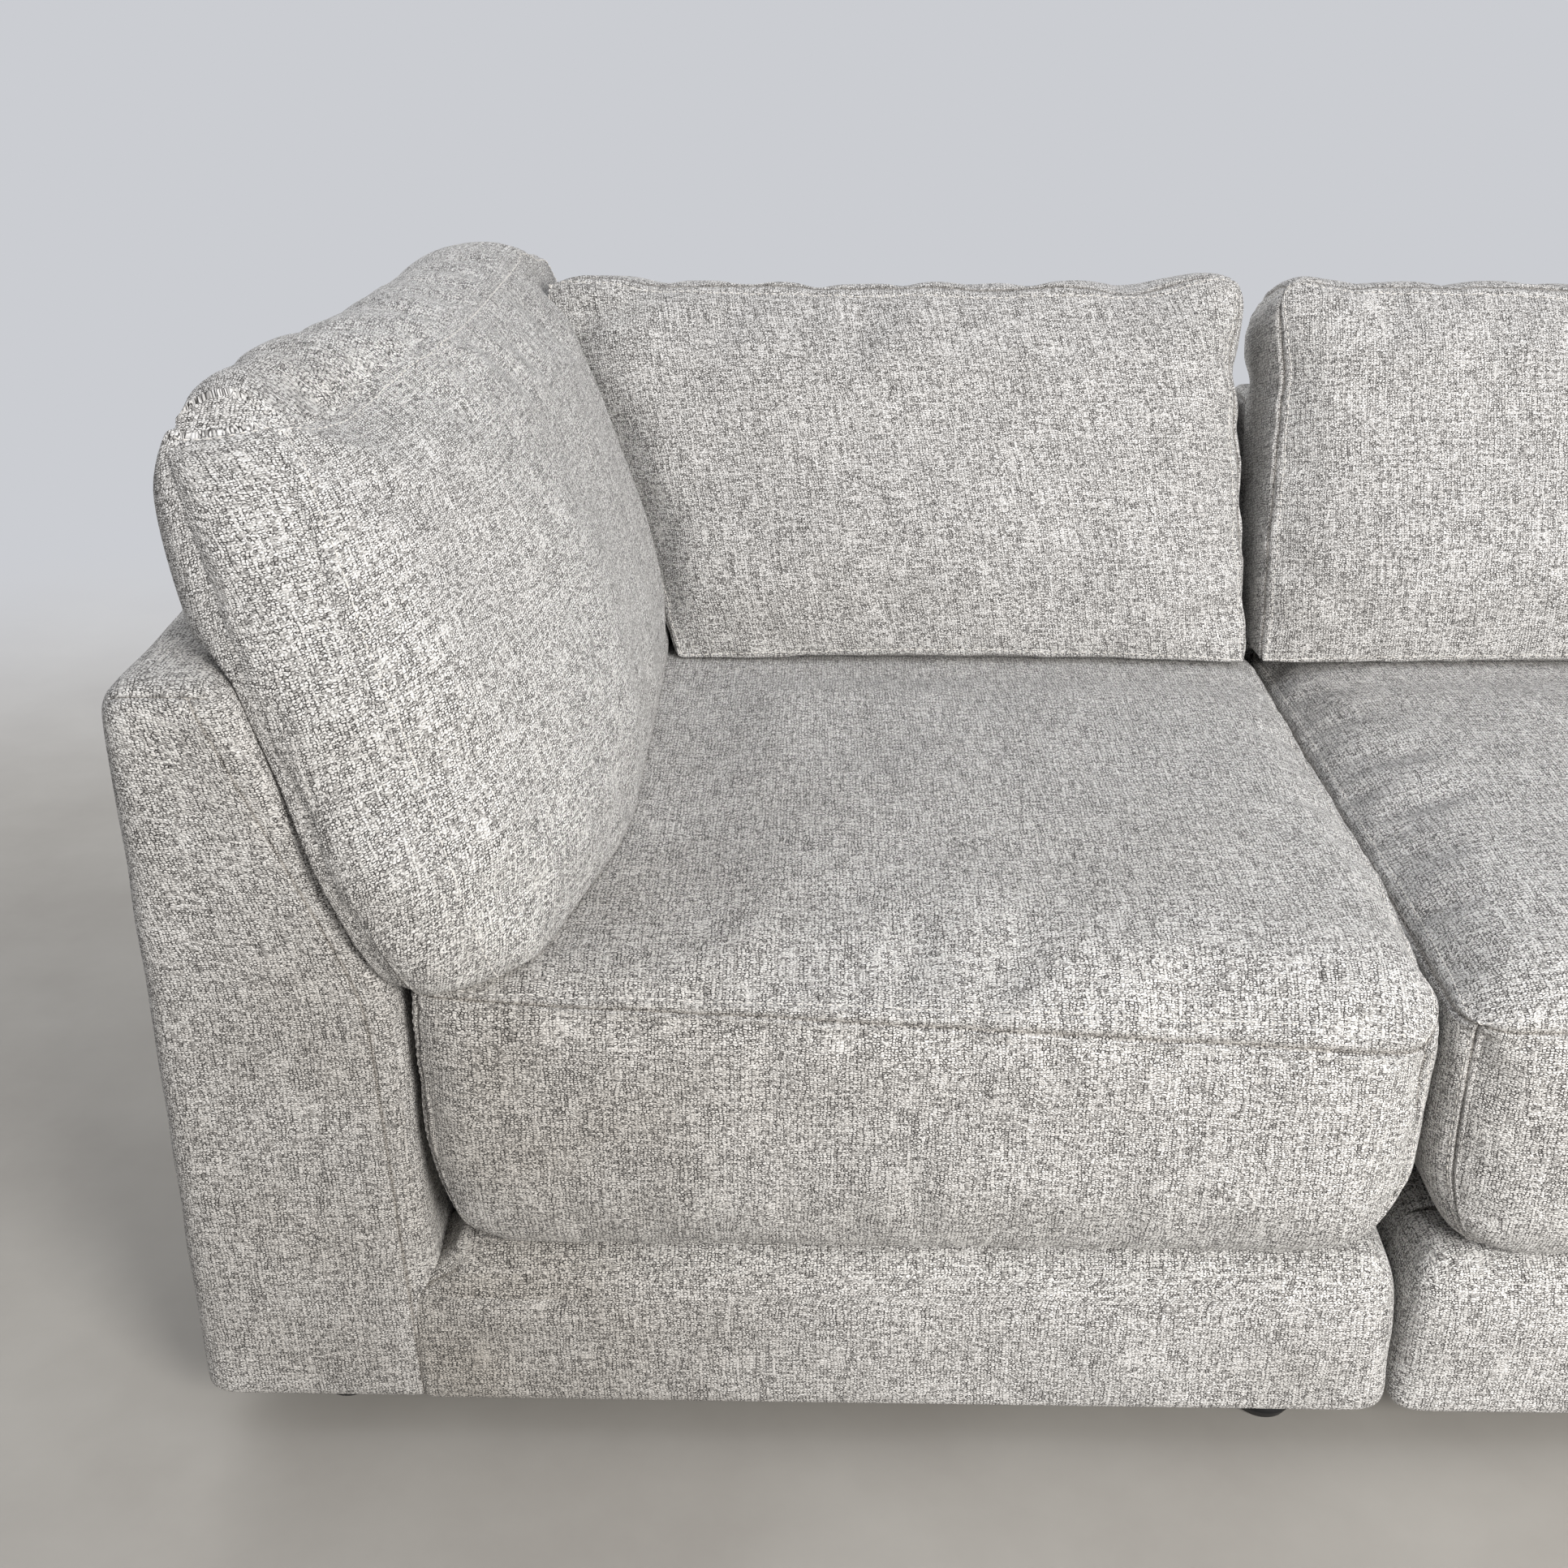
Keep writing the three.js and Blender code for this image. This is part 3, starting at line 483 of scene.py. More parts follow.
def plane_at(through, z):
    return SLOPE_FOOT + through / math.cos(SLOPE) - (z - SEAT_TOP) * math.tan(SLOPE)


def divide_at(z):
    """Where a corner's side cushion ends and its back cushion starts."""
    return plane_at(SIDE_BOXING, z)


# Materials.

def linear(code):
    """An sRGB hex colour as the linear numbers that a shader takes."""
    parts = [int(code[i:i + 2], 16) / 255 for i in (1, 3, 5)]
    return tuple(c / 12.92 if c <= 0.04045 else ((c + 0.055) / 1.055) ** 2.4 for c in parts) + (1,)


def put(tree, kind, inputs=(), out=0, bands=(), **settings):
    """Adds a shader node with its settings, its inputs as values or links, in order or by socket, and the
    (place, colour) bands of a ramp, and gives one of its outputs."""
    made = tree.nodes.new("ShaderNode" + kind)
    for name, value in settings.items():
        setattr(made, name, value)
    for socket, value in inputs.items() if isinstance(inputs, dict) else enumerate(inputs):
        if isinstance(value, bpy.types.NodeSocket):
            tree.links.new(value, made.inputs[socket])
        else:
            made.inputs[socket].default_value = value
    for number, (place, code) in enumerate(bands):
        if number >= len(made.color_ramp.elements):
            made.color_ramp.elements.new(1)
        band = made.color_ramp.elements[number]
        band.position, band.color = place, linear(code)
    return made.outputs[out]


def start_material(name, **shader):
    """A material with a principled shader whose own sockets are set."""
    made = bpy.data.materials.new(name)
    made.use_nodes = True
    tree = made.node_tree
    base = tree.nodes["Principled BSDF"]
    for socket, value in shader.items():
        base.inputs[socket.replace("_", " ")].default_value = value
    return made, tree, base


# The yarns cross every 1.5 to 2 mm; each length of yarn between two crossings is drawn a little longer.
FLOAT_LENGTH, FLOAT_WIDTH = mms(2.7, 1.8)
WANDER = 0.7  # how far the floats stray from an even weave
SWAY_LENGTH, SWAY = 16 * mm, (4 * mm, 3 * mm, 0)  # the yarns lie in slow waves
FIBRE_SCALE = 2.2
YARN_SHADES = ((0.0, "#9a9896"), (0.16, "#c8c6c3"), (0.38, "#eeece9"), (1.0, "#fefdfb"))
# Colour painted into the creases round the floats: shade in the gaps, and partly dark fibre.
CREASE_SHADE_COLOUR, CREASE_EDGE = "#2b2826", (0.05, 0.31)
NAP_HEIGHT = 0.7 * mm
SLUB = mms(2.7, 40)  # across and along the thick stretches of yarn, between which the weave lies open
WARP_SHARE, WEFT_SHARE = 0.5, 0.4
OPENNESS = (0.82, 1.03, 0.15, 1.0)  # from the closed to the open weave, and the depth of its creases there
DRIFT_LENGTH, DRIFT_TONES = 90 * mm, (0.95, 1.03)
# Colour, cloud size and spread of the soil, which also paints shade on the left and lower parts.
SOIL_AND_SHADE_COLOUR, SOIL_AND_SHADE_LENGTH, SOIL_AND_SHADE_CLOUD = "#cac5bd", 120 * mm, (0.3, 0.65, 0.65, 0.95)
# Colour of the painted shade and dust in the seams, and where it starts.
SEAM_SHADE, SEAM_START = "#c2beb9", 0.55


def woven_fabric():
    """Plain-woven polyester upholstery of thick napped yarns, off-white spun with grey: short light floats
    of yarn with creases round them painted dark, as shade in the gaps and partly as dark fibre, so that
    the eye gets a fine light and dark heather."""
    made, tree, base = start_material(
        "woven_heather_fabric", Roughness=0.94, Sheen_Weight=0.1, Sheen_Roughness=0.5, IOR=1.45,
    )
    flat = {"noise_dimensions": "2D"}
    tinted = {"data_type": "RGBA", "blend_type": "MULTIPLY"}
    uv = put(tree, "UVMap", uv_map="weave")
    sway = put(tree, "TexNoise", {"Vector": uv, "Scale": 1 / SWAY_LENGTH, "Detail": 2}, 1, **flat)
    sway = put(tree, "VectorMath", (sway, (0.5, 0.5, 0)), operation="SUBTRACT")
    moved = put(tree, "VectorMath", (sway, SWAY, uv), operation="MULTIPLY_ADD")
    floats = put(tree, "VectorMath", (moved, (1 / FLOAT_LENGTH, 1 / FLOAT_WIDTH, 0)), operation="MULTIPLY")
    cell = {"Vector": floats, "Scale": 1.0, "Randomness": WANDER}
    own = put(tree, "TexVoronoi", cell, 1, voronoi_dimensions="2D")
    own = put(tree, "SeparateXYZ", (own,))
    edge = put(tree, "TexVoronoi", cell, voronoi_dimensions="2D", feature="DISTANCE_TO_EDGE")
    fine = {"Vector": floats, "Detail": 2, "Roughness": 0.6}
    fibre = put(tree, "TexNoise", {**fine, "Scale": FIBRE_SCALE}, **flat)
    shade = put(tree, "Math", (fibre, 0.5, own), operation="MULTIPLY_ADD")
    shade = put(tree, "MapRange", (shade, 0.25, 1.25))
    cloth = put(tree, "ValToRGB", (shade,), bands=YARN_SHADES)
    # The creases are painted dark, as shade in the gaps and partly as dark fibre: deep where the weave lies
    # open, and closed by the nap elsewhere.
    crease = put(tree, "MapRange", (edge, *CREASE_EDGE, 1.0, 0.0), interpolation_type="SMOOTHSTEP")
    openness = put(tree, "TexNoise", {**fine, "Scale": 1.0}, **flat)
    for share, (x, y) in ((WARP_SHARE, SLUB), (WEFT_SHARE, SLUB[::-1])):
        yarn = put(tree, "VectorMath", (moved, (1 / x, 1 / y, 0)), operation="MULTIPLY")
        yarn = put(tree, "TexNoise", {"Vector": yarn, "Scale": 1, "Detail": 2}, **flat)
        openness = put(tree, "Math", (yarn, share, openness), operation="MULTIPLY_ADD")
    depth = put(tree, "MapRange", (openness, *OPENNESS))
    dark = put(tree, "Math", (crease, depth), operation="MULTIPLY")
    cloth = put(tree, "Mix", {0: dark, 6: cloth, 7: linear(CREASE_SHADE_COLOUR)}, 2, data_type="RGBA")
    # Broad drift of tone, from the nap lying one way or the other.
    drift = put(tree, "TexNoise", {"Vector": uv, "Scale": 1 / DRIFT_LENGTH, "Detail": 3}, **flat)
    tone = put(tree, "MapRange", (drift, 0.3, 0.7, *DRIFT_TONES))
    cloth = put(tree, "VectorMath", {0: cloth, 3: tone}, operation="SCALE")
    # Body soil and painted shade: a soft greyish-brown cast where it was sat on and leaned against, which
    # also darkens the left and lower parts as painted shade.
    worn_and_shaded = put(tree, "Attribute", out=2, attribute_name="soil_and_shade")
    cloud = put(tree, "TexNoise", {"Vector": uv, "Scale": 1 / SOIL_AND_SHADE_LENGTH, "Detail": 1}, **flat)
    worn_and_shaded = put(tree, "Math", (worn_and_shaded, put(tree, "MapRange", (cloud, *SOIL_AND_SHADE_CLOUD))), operation="MULTIPLY")
    cloth = put(tree, "Mix", {0: worn_and_shaded, 6: cloth, 7: linear(SOIL_AND_SHADE_COLOUR)}, 2, **tinted)
    # The cloth turns into its seams, which are painted darker there with dust and painted shade.
    seam = put(tree, "Attribute", out=2, attribute_name="seam")
    seam = put(tree, "MapRange", (seam, SEAM_START, 1.0))
    cloth = put(tree, "Mix", {0: seam, 6: cloth, 7: linear(SEAM_SHADE)}, 2, **tinted)
    tree.links.new(cloth, base.inputs["Base Color"])
    round_back = put(tree, "MapRange", (edge, 0.0, 0.35), interpolation_type="SMOOTHERSTEP")
    relief = put(tree, "Math", (fibre, 0.5, round_back), operation="MULTIPLY_ADD")
    bump = put(tree, "Bump", {"Strength": 0.8, "Distance": NAP_HEIGHT, "Height": relief})
    tree.links.new(bump, base.inputs["Normal"])
    return made


def grained(name, grain_size, low, high, bump, distance, stretch=(1, 1, 1), **shader):
    """A finish with one fine grain in its colour, roughness and relief."""
    made, tree, base = start_material(name, **shader)
    where = put(tree, "TexCoord", out="Object")
    where = put(tree, "VectorMath", (where, stretch), operation="MULTIPLY")
    noise = {"Vector": where, "Scale": 1 / (grain_size * mm), "Detail": 5, "Roughness": 0.6}
    grain = put(tree, "TexNoise", noise)
    rough = base.inputs["Roughness"].default_value
    for socket, value in (
        ("Base Color", put(tree, "ValToRGB", (grain,), bands=((0.3, low), (0.7, high)))),
        ("Roughness", put(tree, "MapRange", {0: grain, 3: rough - 0.08, 4: min(rough + 0.08, 1)})),
        ("Normal", put(tree, "Bump", {"Strength": bump, "Distance": distance * mm, "Height": grain})),
    ):
        tree.links.new(value, base.inputs[socket])
    return made


FABRIC = woven_fabric()
# Spun polyester sewing thread, a little brighter than the cloth, twisted, so that it glints softly.
THREAD_FINISH = grained("polyester_thread", 1.2, "#d9d5cf", "#f4f1ec", 0.4, 0.2, Roughness=0.7)
# Spunbonded polypropylene, needled: matt grey felt with a fine cloudy grain.
DECK_CLOTH = grained("spunbonded_platform_cloth", 2.5, "#85827e", "#a19e99", 0.5, 0.3, Roughness=0.9)
# Black cambric, the thin non-woven cloth under a sofa: dull black with grey fibre specks.
DUST_CLOTH = grained("black_cambric", 1.5, "#0f0f10", "#2b2b2d", 0.4, 0.2, Roughness=0.88)
# Kiln-dried pine and plywood, sawn: straw to light brown, with the grain along the rail.
TIMBER = grained("sawn_pine", 9, "#b48f5c", "#dcc08e", 0.35, 0.4, stretch=(0.08, 1, 1), Roughness=0.68)
# Oil-tempered spring wire: dark grey steel with a soft gleam.
SPRING_STEEL = grained("oil_tempered_steel", 3, "#3d4043", "#65696d", 0.2, 0.1, Metallic=1.0, Roughness=0.38)
# Injection-moulded polypropylene, black, with a fine moulded grain.
FOOT_PLASTIC = grained("moulded_black_polypropylene", 0.8, "#101112", "#1d1e20", 0.3, 0.1, Roughness=0.5)
# Bright zinc plate on pressed steel: pale grey metal, clouded where it passivated.
ZINC = grained("zinc_plated_steel", 6, "#9aa0a4", "#c4c8ca", 0.1, 0.1, Metallic=1.0, Roughness=0.36)


# Cushions.

class Cushion:
    """A stuffed cover: its skin and free form in a module's coordinates, how far each vertex may swell,
    what keeps it off its neighbours, how far each vertex is from a seam, where its cloth is cut from, and
    how tightly its seams are drawn in."""

    def __init__(self, skin, points, give, settle, distance=None, uv=None, drawn=1.0):
        self.skin, self.points, self.give, self.settle = skin, points, give, settle
        self.distance = skin.seam_distance() if distance is None else distance
        self.uv = panel_uv(skin, points) if uv is None else uv
        self.drawn = drawn


def round_corner(x, y, a, b, radius):
    """Rounds the corners of a rectangle of half sizes a and b, for points in or on it."""
    core_x, core_y = np.clip(x, radius - a, a - radius), np.clip(y, radius - b, b - radius)
    out_x, out_y = x - core_x, y - core_y
    length = np.maximum(np.hypot(out_x, out_y) / radius, 1)
    return core_x + out_x / length, core_y + out_y / length


CUSHION_GRID = 12.5 * mm
# How freely the cloth gives on the front or top, on the edges and towards another piece.
FACE, EDGE = 0.99, 0.999


def seat_top(u, v, has_arm):
    """Height of a seat cushion's top; u runs along it and v from its front, -1 to 1."""
    seam = SEAM_HEIGHT + 0 * u
    if has_arm:
        seam = seam - SEAT_SEAM_FALL / 2 * u * fade(-v, -1, SEAT_SEAM_FALL_RUN)
        seam = seam + SEAT_SHOULDER * np.maximum(u, 0) ** 2 * (1 - v**4)
    return seam + (SEAT_TOP - seam) * crown(u, SEAT_CROWN_POWER) * crown(v, SEAT_CROWN_POWER)


def seat_cushion(width, has_arm):
    start = SEAT_CLEAR if has_arm else SEAT_SIDE_FIT
    end = width - SEAT_SIDE_FIT
    bottom = DECK_HEIGHT + SOFT_FIT
    half = np.array([(end - start) / 2, (DEPTH - SEAT_CLEAR) / 2, (SEAM_HEIGHT - bottom) / 2])
    skin = Skin(*(stops(-h, h, CUSHION_GRID, SEAM_RINGS) for h in half))
    u, v, w = (skin.at / half).T
    low = (1 - w) / 2
    tuck = SEAT_TUCK * quarter((low - 1 + SEAT_TURN) / SEAT_TURN, 0.99)
    a, b = half[0] - SEAT_END_TUCK * low**SEAT_END_POWER, half[1] - tuck
    radius = np.where(has_arm & (u < 0) & (v < 0), SEAT_ARM_CORNER, SEAT_CORNER) + tuck
    x, y = round_corner(u * a, v * b, a, b, radius)
    points = columns(start + half[0] + x, half[1] + y, lerp(seat_top(u, v, has_arm), bottom, low))
    # The top and the front boxing swell; the underside and the sides against other pieces hardly do.
    give = np.where(w > FACE, 1.0, np.where(v < -FACE, 0.8, 0.15)) * fade(w, -1, 0.5)

    clear_of = DEPTH - plane_at(BACK_BOXING + BACK_FRONT_CROWN, SEAT_TOP) - points[:, 1]
    if has_arm:
        clear_of = np.minimum(clear_of, points[:, 0] - plane_at(SIDE_BOXING + BACK_FRONT_CROWN, SEAT_TOP))
    ceiling = points[:, 2] + SEAT_SWELL * fade(clear_of, 0, SEAT_SWELL_RUN)

    def settle(moved):
        x, y, z = moved.T
        return columns(np.clip(x, start, end), y, np.clip(z, bottom, np.maximum(ceiling, bottom)))

    return Cushion(skin, points, give, settle)


def seat_surface(x, y):
    """Height of the top of a corner's seat cushion, which its side cushion stands on."""
    u = (2 * x - SEAT_CLEAR - CORNER) / (CORNER - SEAT_CLEAR)
    v = 2 * y / (DEPTH - SEAT_CLEAR) - 1
    # In front of the seat a cushion may hang over its seam.
    return np.where(y < 4 * mm, SEAM_HEIGHT, seat_top(np.clip(u, -1, 1), np.clip(v, -1, 1), True))


def outside(share, width, radius):
    """How far a point at a share of a width lies out of the centre of the rounding at either edge."""
    place = share * width
    return np.where(share < 0.5, np.minimum(place - radius, 0), np.maximum(place - width + radius, 0))


def pull(radius, out_a, out_b):
    """The share of the way to a rounding's centre by which it pulls a point in."""
    return 1 - 1 / np.maximum(np.hypot(out_a, out_b) / radius, 1)


def leaning_cushion(top, boxing, crowns, sink, ends_at, place, ears, nose=None):
    """A cushion that lies on a slope and stands on the seat. crowns are those of its front, rear and top,
    ears how far its two top corners stand out, and nose the lines of its boxing where that is narrower at
    the first end."""
    front_crown, rear_crown, top_crown = crowns
    rise = (top - SEAT_TOP - boxing * math.sin(SLOPE)) / math.cos(SLOPE)
    sink = (boxing + front_crown) * math.tan(SLOPE) + sink
    low, high = ends_at(SEAT_TOP)
    half_length, half_height = half = (high - low) / 2, (rise + sink) / 2
    skin = Skin(
        *(stops(-h, h, CUSHION_GRID, SEAM_RINGS) for h in half),
        stops(-boxing / 2, boxing / 2, CUSHION_GRID, SEAM_RINGS, nose or ()),
    )
    u, v, w = (skin.at / (*half, boxing / 2)).T
    bulge = crown(u, CUSHION_POWER) * crown(v, CUSHION_POWER)
    place_along, height, share = skin.at[:, 0] + half_length, v * half_height, (1 + w) / 2
    width, lift, tuck, draw = boxing, 0, 0, CUSHION_DRAW
    corner = np.where(v < 0, BACK_LOW_CORNER, CUSHION_CORNER)
    if nose:
        corner, draw = CUSHION_CORNER, CUSHION_DRAW * (u > 0)
        tuck = SIDE_FOOT_TUCK * ((1 - v) / 2) ** SIDE_FOOT_POWER
        width = lerp(SIDE_NOSE_BOXING, boxing, fade(place_along, 0, SIDE_NOSE_RUN))
        lift = SIDE_NOSE_LIFT * (1 - share) * (1 - fade(place_along, *SIDE_NOSE_LIFT_AT))
        lift = (lift - SIDE_TAIL_FALL * fade(place_along, *SIDE_TAIL_FALL_AT)) * fade(v, *SIDE_TOP_AT)
        # The face turns round the first end in one piece.
        rear = SIDE_NOSE_BOXING - SIDE_NOSE_RADIUS
        behind = share * width < rear
        turn = np.where(behind, rear, SIDE_NOSE_RADIUS)
        out_s = np.minimum(place_along - turn, 0)
        out_t = np.where(behind, share * width - turn, np.maximum(share * width - width + turn, 0))
        pulled = pull(turn, out_s, out_t)
        place_along = place_along - out_s * pulled
        share = share - out_t * pulled / width
        # So does the top, the further forward the more.
        turn = np.maximum(SIDE_NOSE_TOP * (1 - fade(place_along, 0, SIDE_NOSE_TOP_RUN)), 0.1 * mm)
        out_t, out_up = outside(share, width, turn), np.maximum(height - half_height + turn, 0)
        pulled = pull(turn, out_t, out_up)
        share = share - out_t * pulled / width
        height = height - out_up * pulled
    front = width - tuck + front_crown * bulge * (1 - SLUMP_SHARE * v)
    through = lerp(-rear_crown * bulge, front, share)
    a, b = round_corner(place_along - half_length, height, half_length, half_height, corner)
    along = a - draw * (1 - v * v) * u
    on_top = np.where(v > EDGE, top_crown * (1 - w * w), 0)
    up = b - CUSHION_DRAW * (1 - u * u) * v + on_top + lift + (rise - sink) / 2
    edge = np.exp(-skin.seam_distance() / PINCH_EDGE)
    for side, ear in zip((-1, 1), ears):
        reach = np.hypot(skin.at[:, 0] - side * half_length, skin.at[:, 1] - half_height)
        lobe = ear * bell(reach, EAR_REACH)
        pinch = PINCH_SHARE * ear * bell(reach - PINCH_AT, PINCH_REACH) * edge
        along += side * (EAR_SPREAD * lobe - pinch * np.abs(u) ** PINCH_POWER)
        up += lobe - pinch * np.maximum(v, 0) ** PINCH_POWER
    z = SEAT_TOP + up * math.cos(SLOPE) + through * math.sin(SLOPE)
    inset = SLOPE_FOOT - up * math.sin(SLOPE) + through * math.cos(SLOPE)
    points = place(inset, lerp(*ends_at(z), (1 + along / half_length) / 2), z)
    give = np.where(w > FACE, 1.0, np.where(v > FACE, 0.7, np.where(w < -FACE, 0.1, 0.35)))
    return skin, points, give * fade(z, SEAT_TOP, CUSHION_FIRM)


def keep_off(inset, z, seat):
    """Lifts points out of the seat below and out of the slope of the arm or back behind."""
    z = np.maximum(z, seat + SOFT_FIT)
    return np.maximum(inset, np.where(z < PANEL_HEIGHT, plane_at(0, z), -1)), z


def back_cushion(width, has_arm, ears):
    """The back cushion of a module; in a corner it starts at the side cushion's face."""
    def ends_at(z):
        taper = BACK_TAPER * np.clip((z - SEAT_TOP) / (BACK_CUSHION_TOP - SEAT_TOP), 0, 1) ** 2
        if has_arm:
            return divide_at(z) + SOFT_FIT, width - BACK_FREE_GAP - taper
        return taper - BACK_WIDENING, width + BACK_WIDENING - taper

    def place(inset, along, z):
        return columns(along, DEPTH - inset, z)

    def settle(moved):
        inset, z = keep_off(DEPTH - moved[:, 1], moved[:, 2], SEAT_TOP)
        start, end = ends_at(z)
        return place(inset, np.clip(moved[:, 0], start - BACK_PRESS * (not has_arm), end + BACK_PRESS), z)

    crowns = (BACK_FRONT_CROWN, BACK_REAR_CROWN, BACK_TOP_CROWN)
    made = leaning_cushion(BACK_CUSHION_TOP, BACK_BOXING, crowns, BACK_SINK, ends_at, place, ears)
    return Cushion(*made, settle)


def side_cushion(ears):
    """The side cushion of a corner. Its face turns round its front end to a seam near the arm."""
    def ends_at(z):
        rise = np.maximum(z - SIDE_SETBACK_HEIGHT, 0) / (SIDE_CUSHION_TOP - SIDE_SETBACK_HEIGHT)
        bulge = SIDE_OVERHANG * (1 - fade(z, *SIDE_OVERHANG_AT))
        foot = SIDE_FOOT_ROUND * quarter((SIDE_FOOT_TOP - z) / SIDE_FOOT_HEIGHT)
        return SIDE_SETBACK * rise**2 - bulge + foot, DEPTH - panel_face(z) - SIDE_REAR_GAP

    def settle(moved):
        inset, z = keep_off(moved[:, 0], moved[:, 2], seat_surface(moved[:, 0], moved[:, 1]))
        y = np.minimum(moved[:, 1], ends_at(z)[1])
        front = DEPTH - plane_at(BACK_BOXING + BACK_FRONT_CROWN * (1 + SLUMP_SHARE) + SOFT_FIT, z)
        return columns(np.minimum(inset, divide_at(z) + SIDE_DENT * fade(front, y, SIDE_DENT_RUN)), y, z)

    seam = (SIDE_NOSE_SEAM - 0.5) * SIDE_BOXING
    around = [seam] + [seam + side * ring for side in (-1, 1) for ring in SEAM_RINGS[1:]]
    crowns = (SIDE_FRONT_CROWN, SIDE_REAR_CROWN, SIDE_TOP_CROWN)
    skin, points, give = leaning_cushion(
        SIDE_CUSHION_TOP, SIDE_BOXING, crowns, SIDE_SINK, ends_at, columns, ears, around,
    )
    distance = skin.seam_distance([{(0, 0), (2, 1)}, {(0, 0), (2, 0)}, {(0, 0), (1, 1)}], [(0, 0, 2, seam)])
    uv = panel_uv(skin, points)
    # The top is cut flat, and the cloth of the front end is the face's own.
    nose, top, face = 0, 3, 5
    flat = columns(points[:, 1], points[:, 0] * math.cos(SLOPE) + points[:, 2] * math.sin(SLOPE))
    across, along = cloth_places(skin, points, nose)[:, 1], cloth_places(skin, points, face)
    edge = skin.number[0, :, -1][skin.index[:, 1]]
    joined = columns(along[edge, 0] + across - across[edge], along[edge, 1])
    for side, places, cut in ((top, flat, top + 1), (nose, joined, face + 1)):
        uv[skin.sides == side] = places[skin.faces[skin.sides == side]] + CUSHION_SHIFT * cut * PANEL_SHIFT
    drawn = lerp(1, SIDE_DRAWN, fade(points[:, 2], SEAT_TOP, SIDE_DRAWN_RUN))
    return Cushion(skin, points, give, settle, distance, uv, drawn)


PRESSURE = 3.5
SLACK = 0.02
SWELL_CAP = 9 * mm
SWELL_FRAMES = 16
UNEVEN_LENGTH, UNEVEN, START_INSIDE = mms(70, 0.6, 2.5)


def swell(cushion, seed):
    """Blows up the cover as stuffed cloth that is held along its seams, and returns the moved points."""
    faces = cushion.skin.faces
    uneven = ripple(cushion.points, UNEVEN_LENGTH, UNEVEN, seed) - START_INSIDE
    cloth = add_object("swelling", pushed(cushion.points, faces, uneven * cushion.give), faces)
    held = cloth.vertex_groups.new(name="held")
    hold = np.clip(np.where(cushion.distance < 1 * mm, 0.9, 0) + (cushion.give < 0.12), 0, 1)
    for weight in np.unique(hold):
        held.add(np.flatnonzero(hold == weight).tolist(), float(weight), "REPLACE")
    made = cloth.modifiers.new("cloth", "CLOTH")
    for name, value in {
        "quality": 5, "mass": 0.3, "tension_stiffness": 20, "compression_stiffness": 8, "shear_stiffness": 5,
        "bending_stiffness": 1.0, "shrink_min": -SLACK, "use_pressure": True,
        "uniform_pressure_force": PRESSURE, "vertex_group_mass": held.name,
    }.items():
        setattr(made.settings, name, value)
    made.settings.effector_weights.gravity = 0
    made.point_cache.frame_start, made.point_cache.frame_end = 1, SWELL_FRAMES
    scene = bpy.context.scene
    for step in range(1, SWELL_FRAMES + 1):
        scene.frame_set(step)
    shape = cloth.evaluated_get(bpy.context.evaluated_depsgraph_get()).to_mesh()
    moved = np.zeros(cushion.points.size)
    shape.vertices.foreach_get("co", moved)
    bpy.data.objects.remove(cloth)
    scene.frame_set(1)
    shift = moved.reshape(-1, 3) - cushion.points
    length = np.linalg.norm(shift, axis=1, keepdims=True)
    cap = SWELL_CAP * np.maximum(cushion.give, 0.05)[:, None]
    return cushion.points + shift * np.minimum(1, cap / np.maximum(length, 1e-9))


# The puckers along the seams, the slow lumps of the filling and the light creases: length and height.
PUCKERS, LUMPS, CREASES = mms(34, 0.9), mms(190, 1.8), mms(60, 0.5)
PUCKER_REACH = 26 * mm


def finish_cushion(module, part, cushion, points, seed, spots=()):
    """Sews the swollen cushion and puts it in its module, with its stitches."""
    seam = np.interp(cushion.distance, SEAM_RINGS, SEAM_PROFILE) * cushion.drawn
    pucker = ripple(points, *PUCKERS, seed + 1) * bell(cushion.distance, PUCKER_REACH)
    lumps = (ripple(points, *LUMPS, seed + 2) + ripple(points, *CREASES, seed + 3)) * cushion.give
    shaped = module.place(cushion.settle(pushed(points, cushion.skin.faces, seam + pucker + lumps)))
    name = f"{module.name}_{part}_cushion"
    uv = cushion.uv + seed * np.array([0.231, 0.117])
    piece = add_object(f"{name}_cover", shaped, cushion.skin.faces, FABRIC, uv, module.mirrored)
    soil_and_shade(piece, spots)
    # The seams are painted darker with shade and dust.
    mark(piece, "seam", bell(cushion.distance, SEAM_DUST_AND_SHADE) * cushion.drawn)
    subdivide(piece)
    ride(piece, module.body(part), "cushion_fabric", name)
    sewn = stitches(f"{name}_stitching", piece, panel_stitches(cushion.skin, shaped), THREAD_FINISH)
    ride(sewn, module.body(part), "cushion_fabric")


# Soiled places, which also paint shade darker on the left and low down.
SEAT_SPOTS = (
    (-1.13, -0.42, 0.42, 0.16, 0.35), (-1.13, -0.48, 0.30, 0.16, 0.5), (-0.95, -0.2, 0.44, 0.2, 0.2),
    (-0.95, -0.48, 0.24, 0.3, 0.25), (-0.62, -0.30, 0.44, 0.12, 0.15),
)
SIDE_SPOTS = (
    (-1.30, -0.27, 0.80, 0.06, 0.4), (-1.3, -0.4, 0.55, 0.14, 0.45), (-1.22, -0.45, 0.45, 0.1, 0.45),
)
BACK_SPOTS = ((-0.9, 0.1, 0.50, 0.12, 0.2),)
MIDDLE_SPOTS = ((-0.40, 0.10, 0.50, 0.11, 0.3), (-0.38, -0.47, 0.36, 0.10, 0.2))

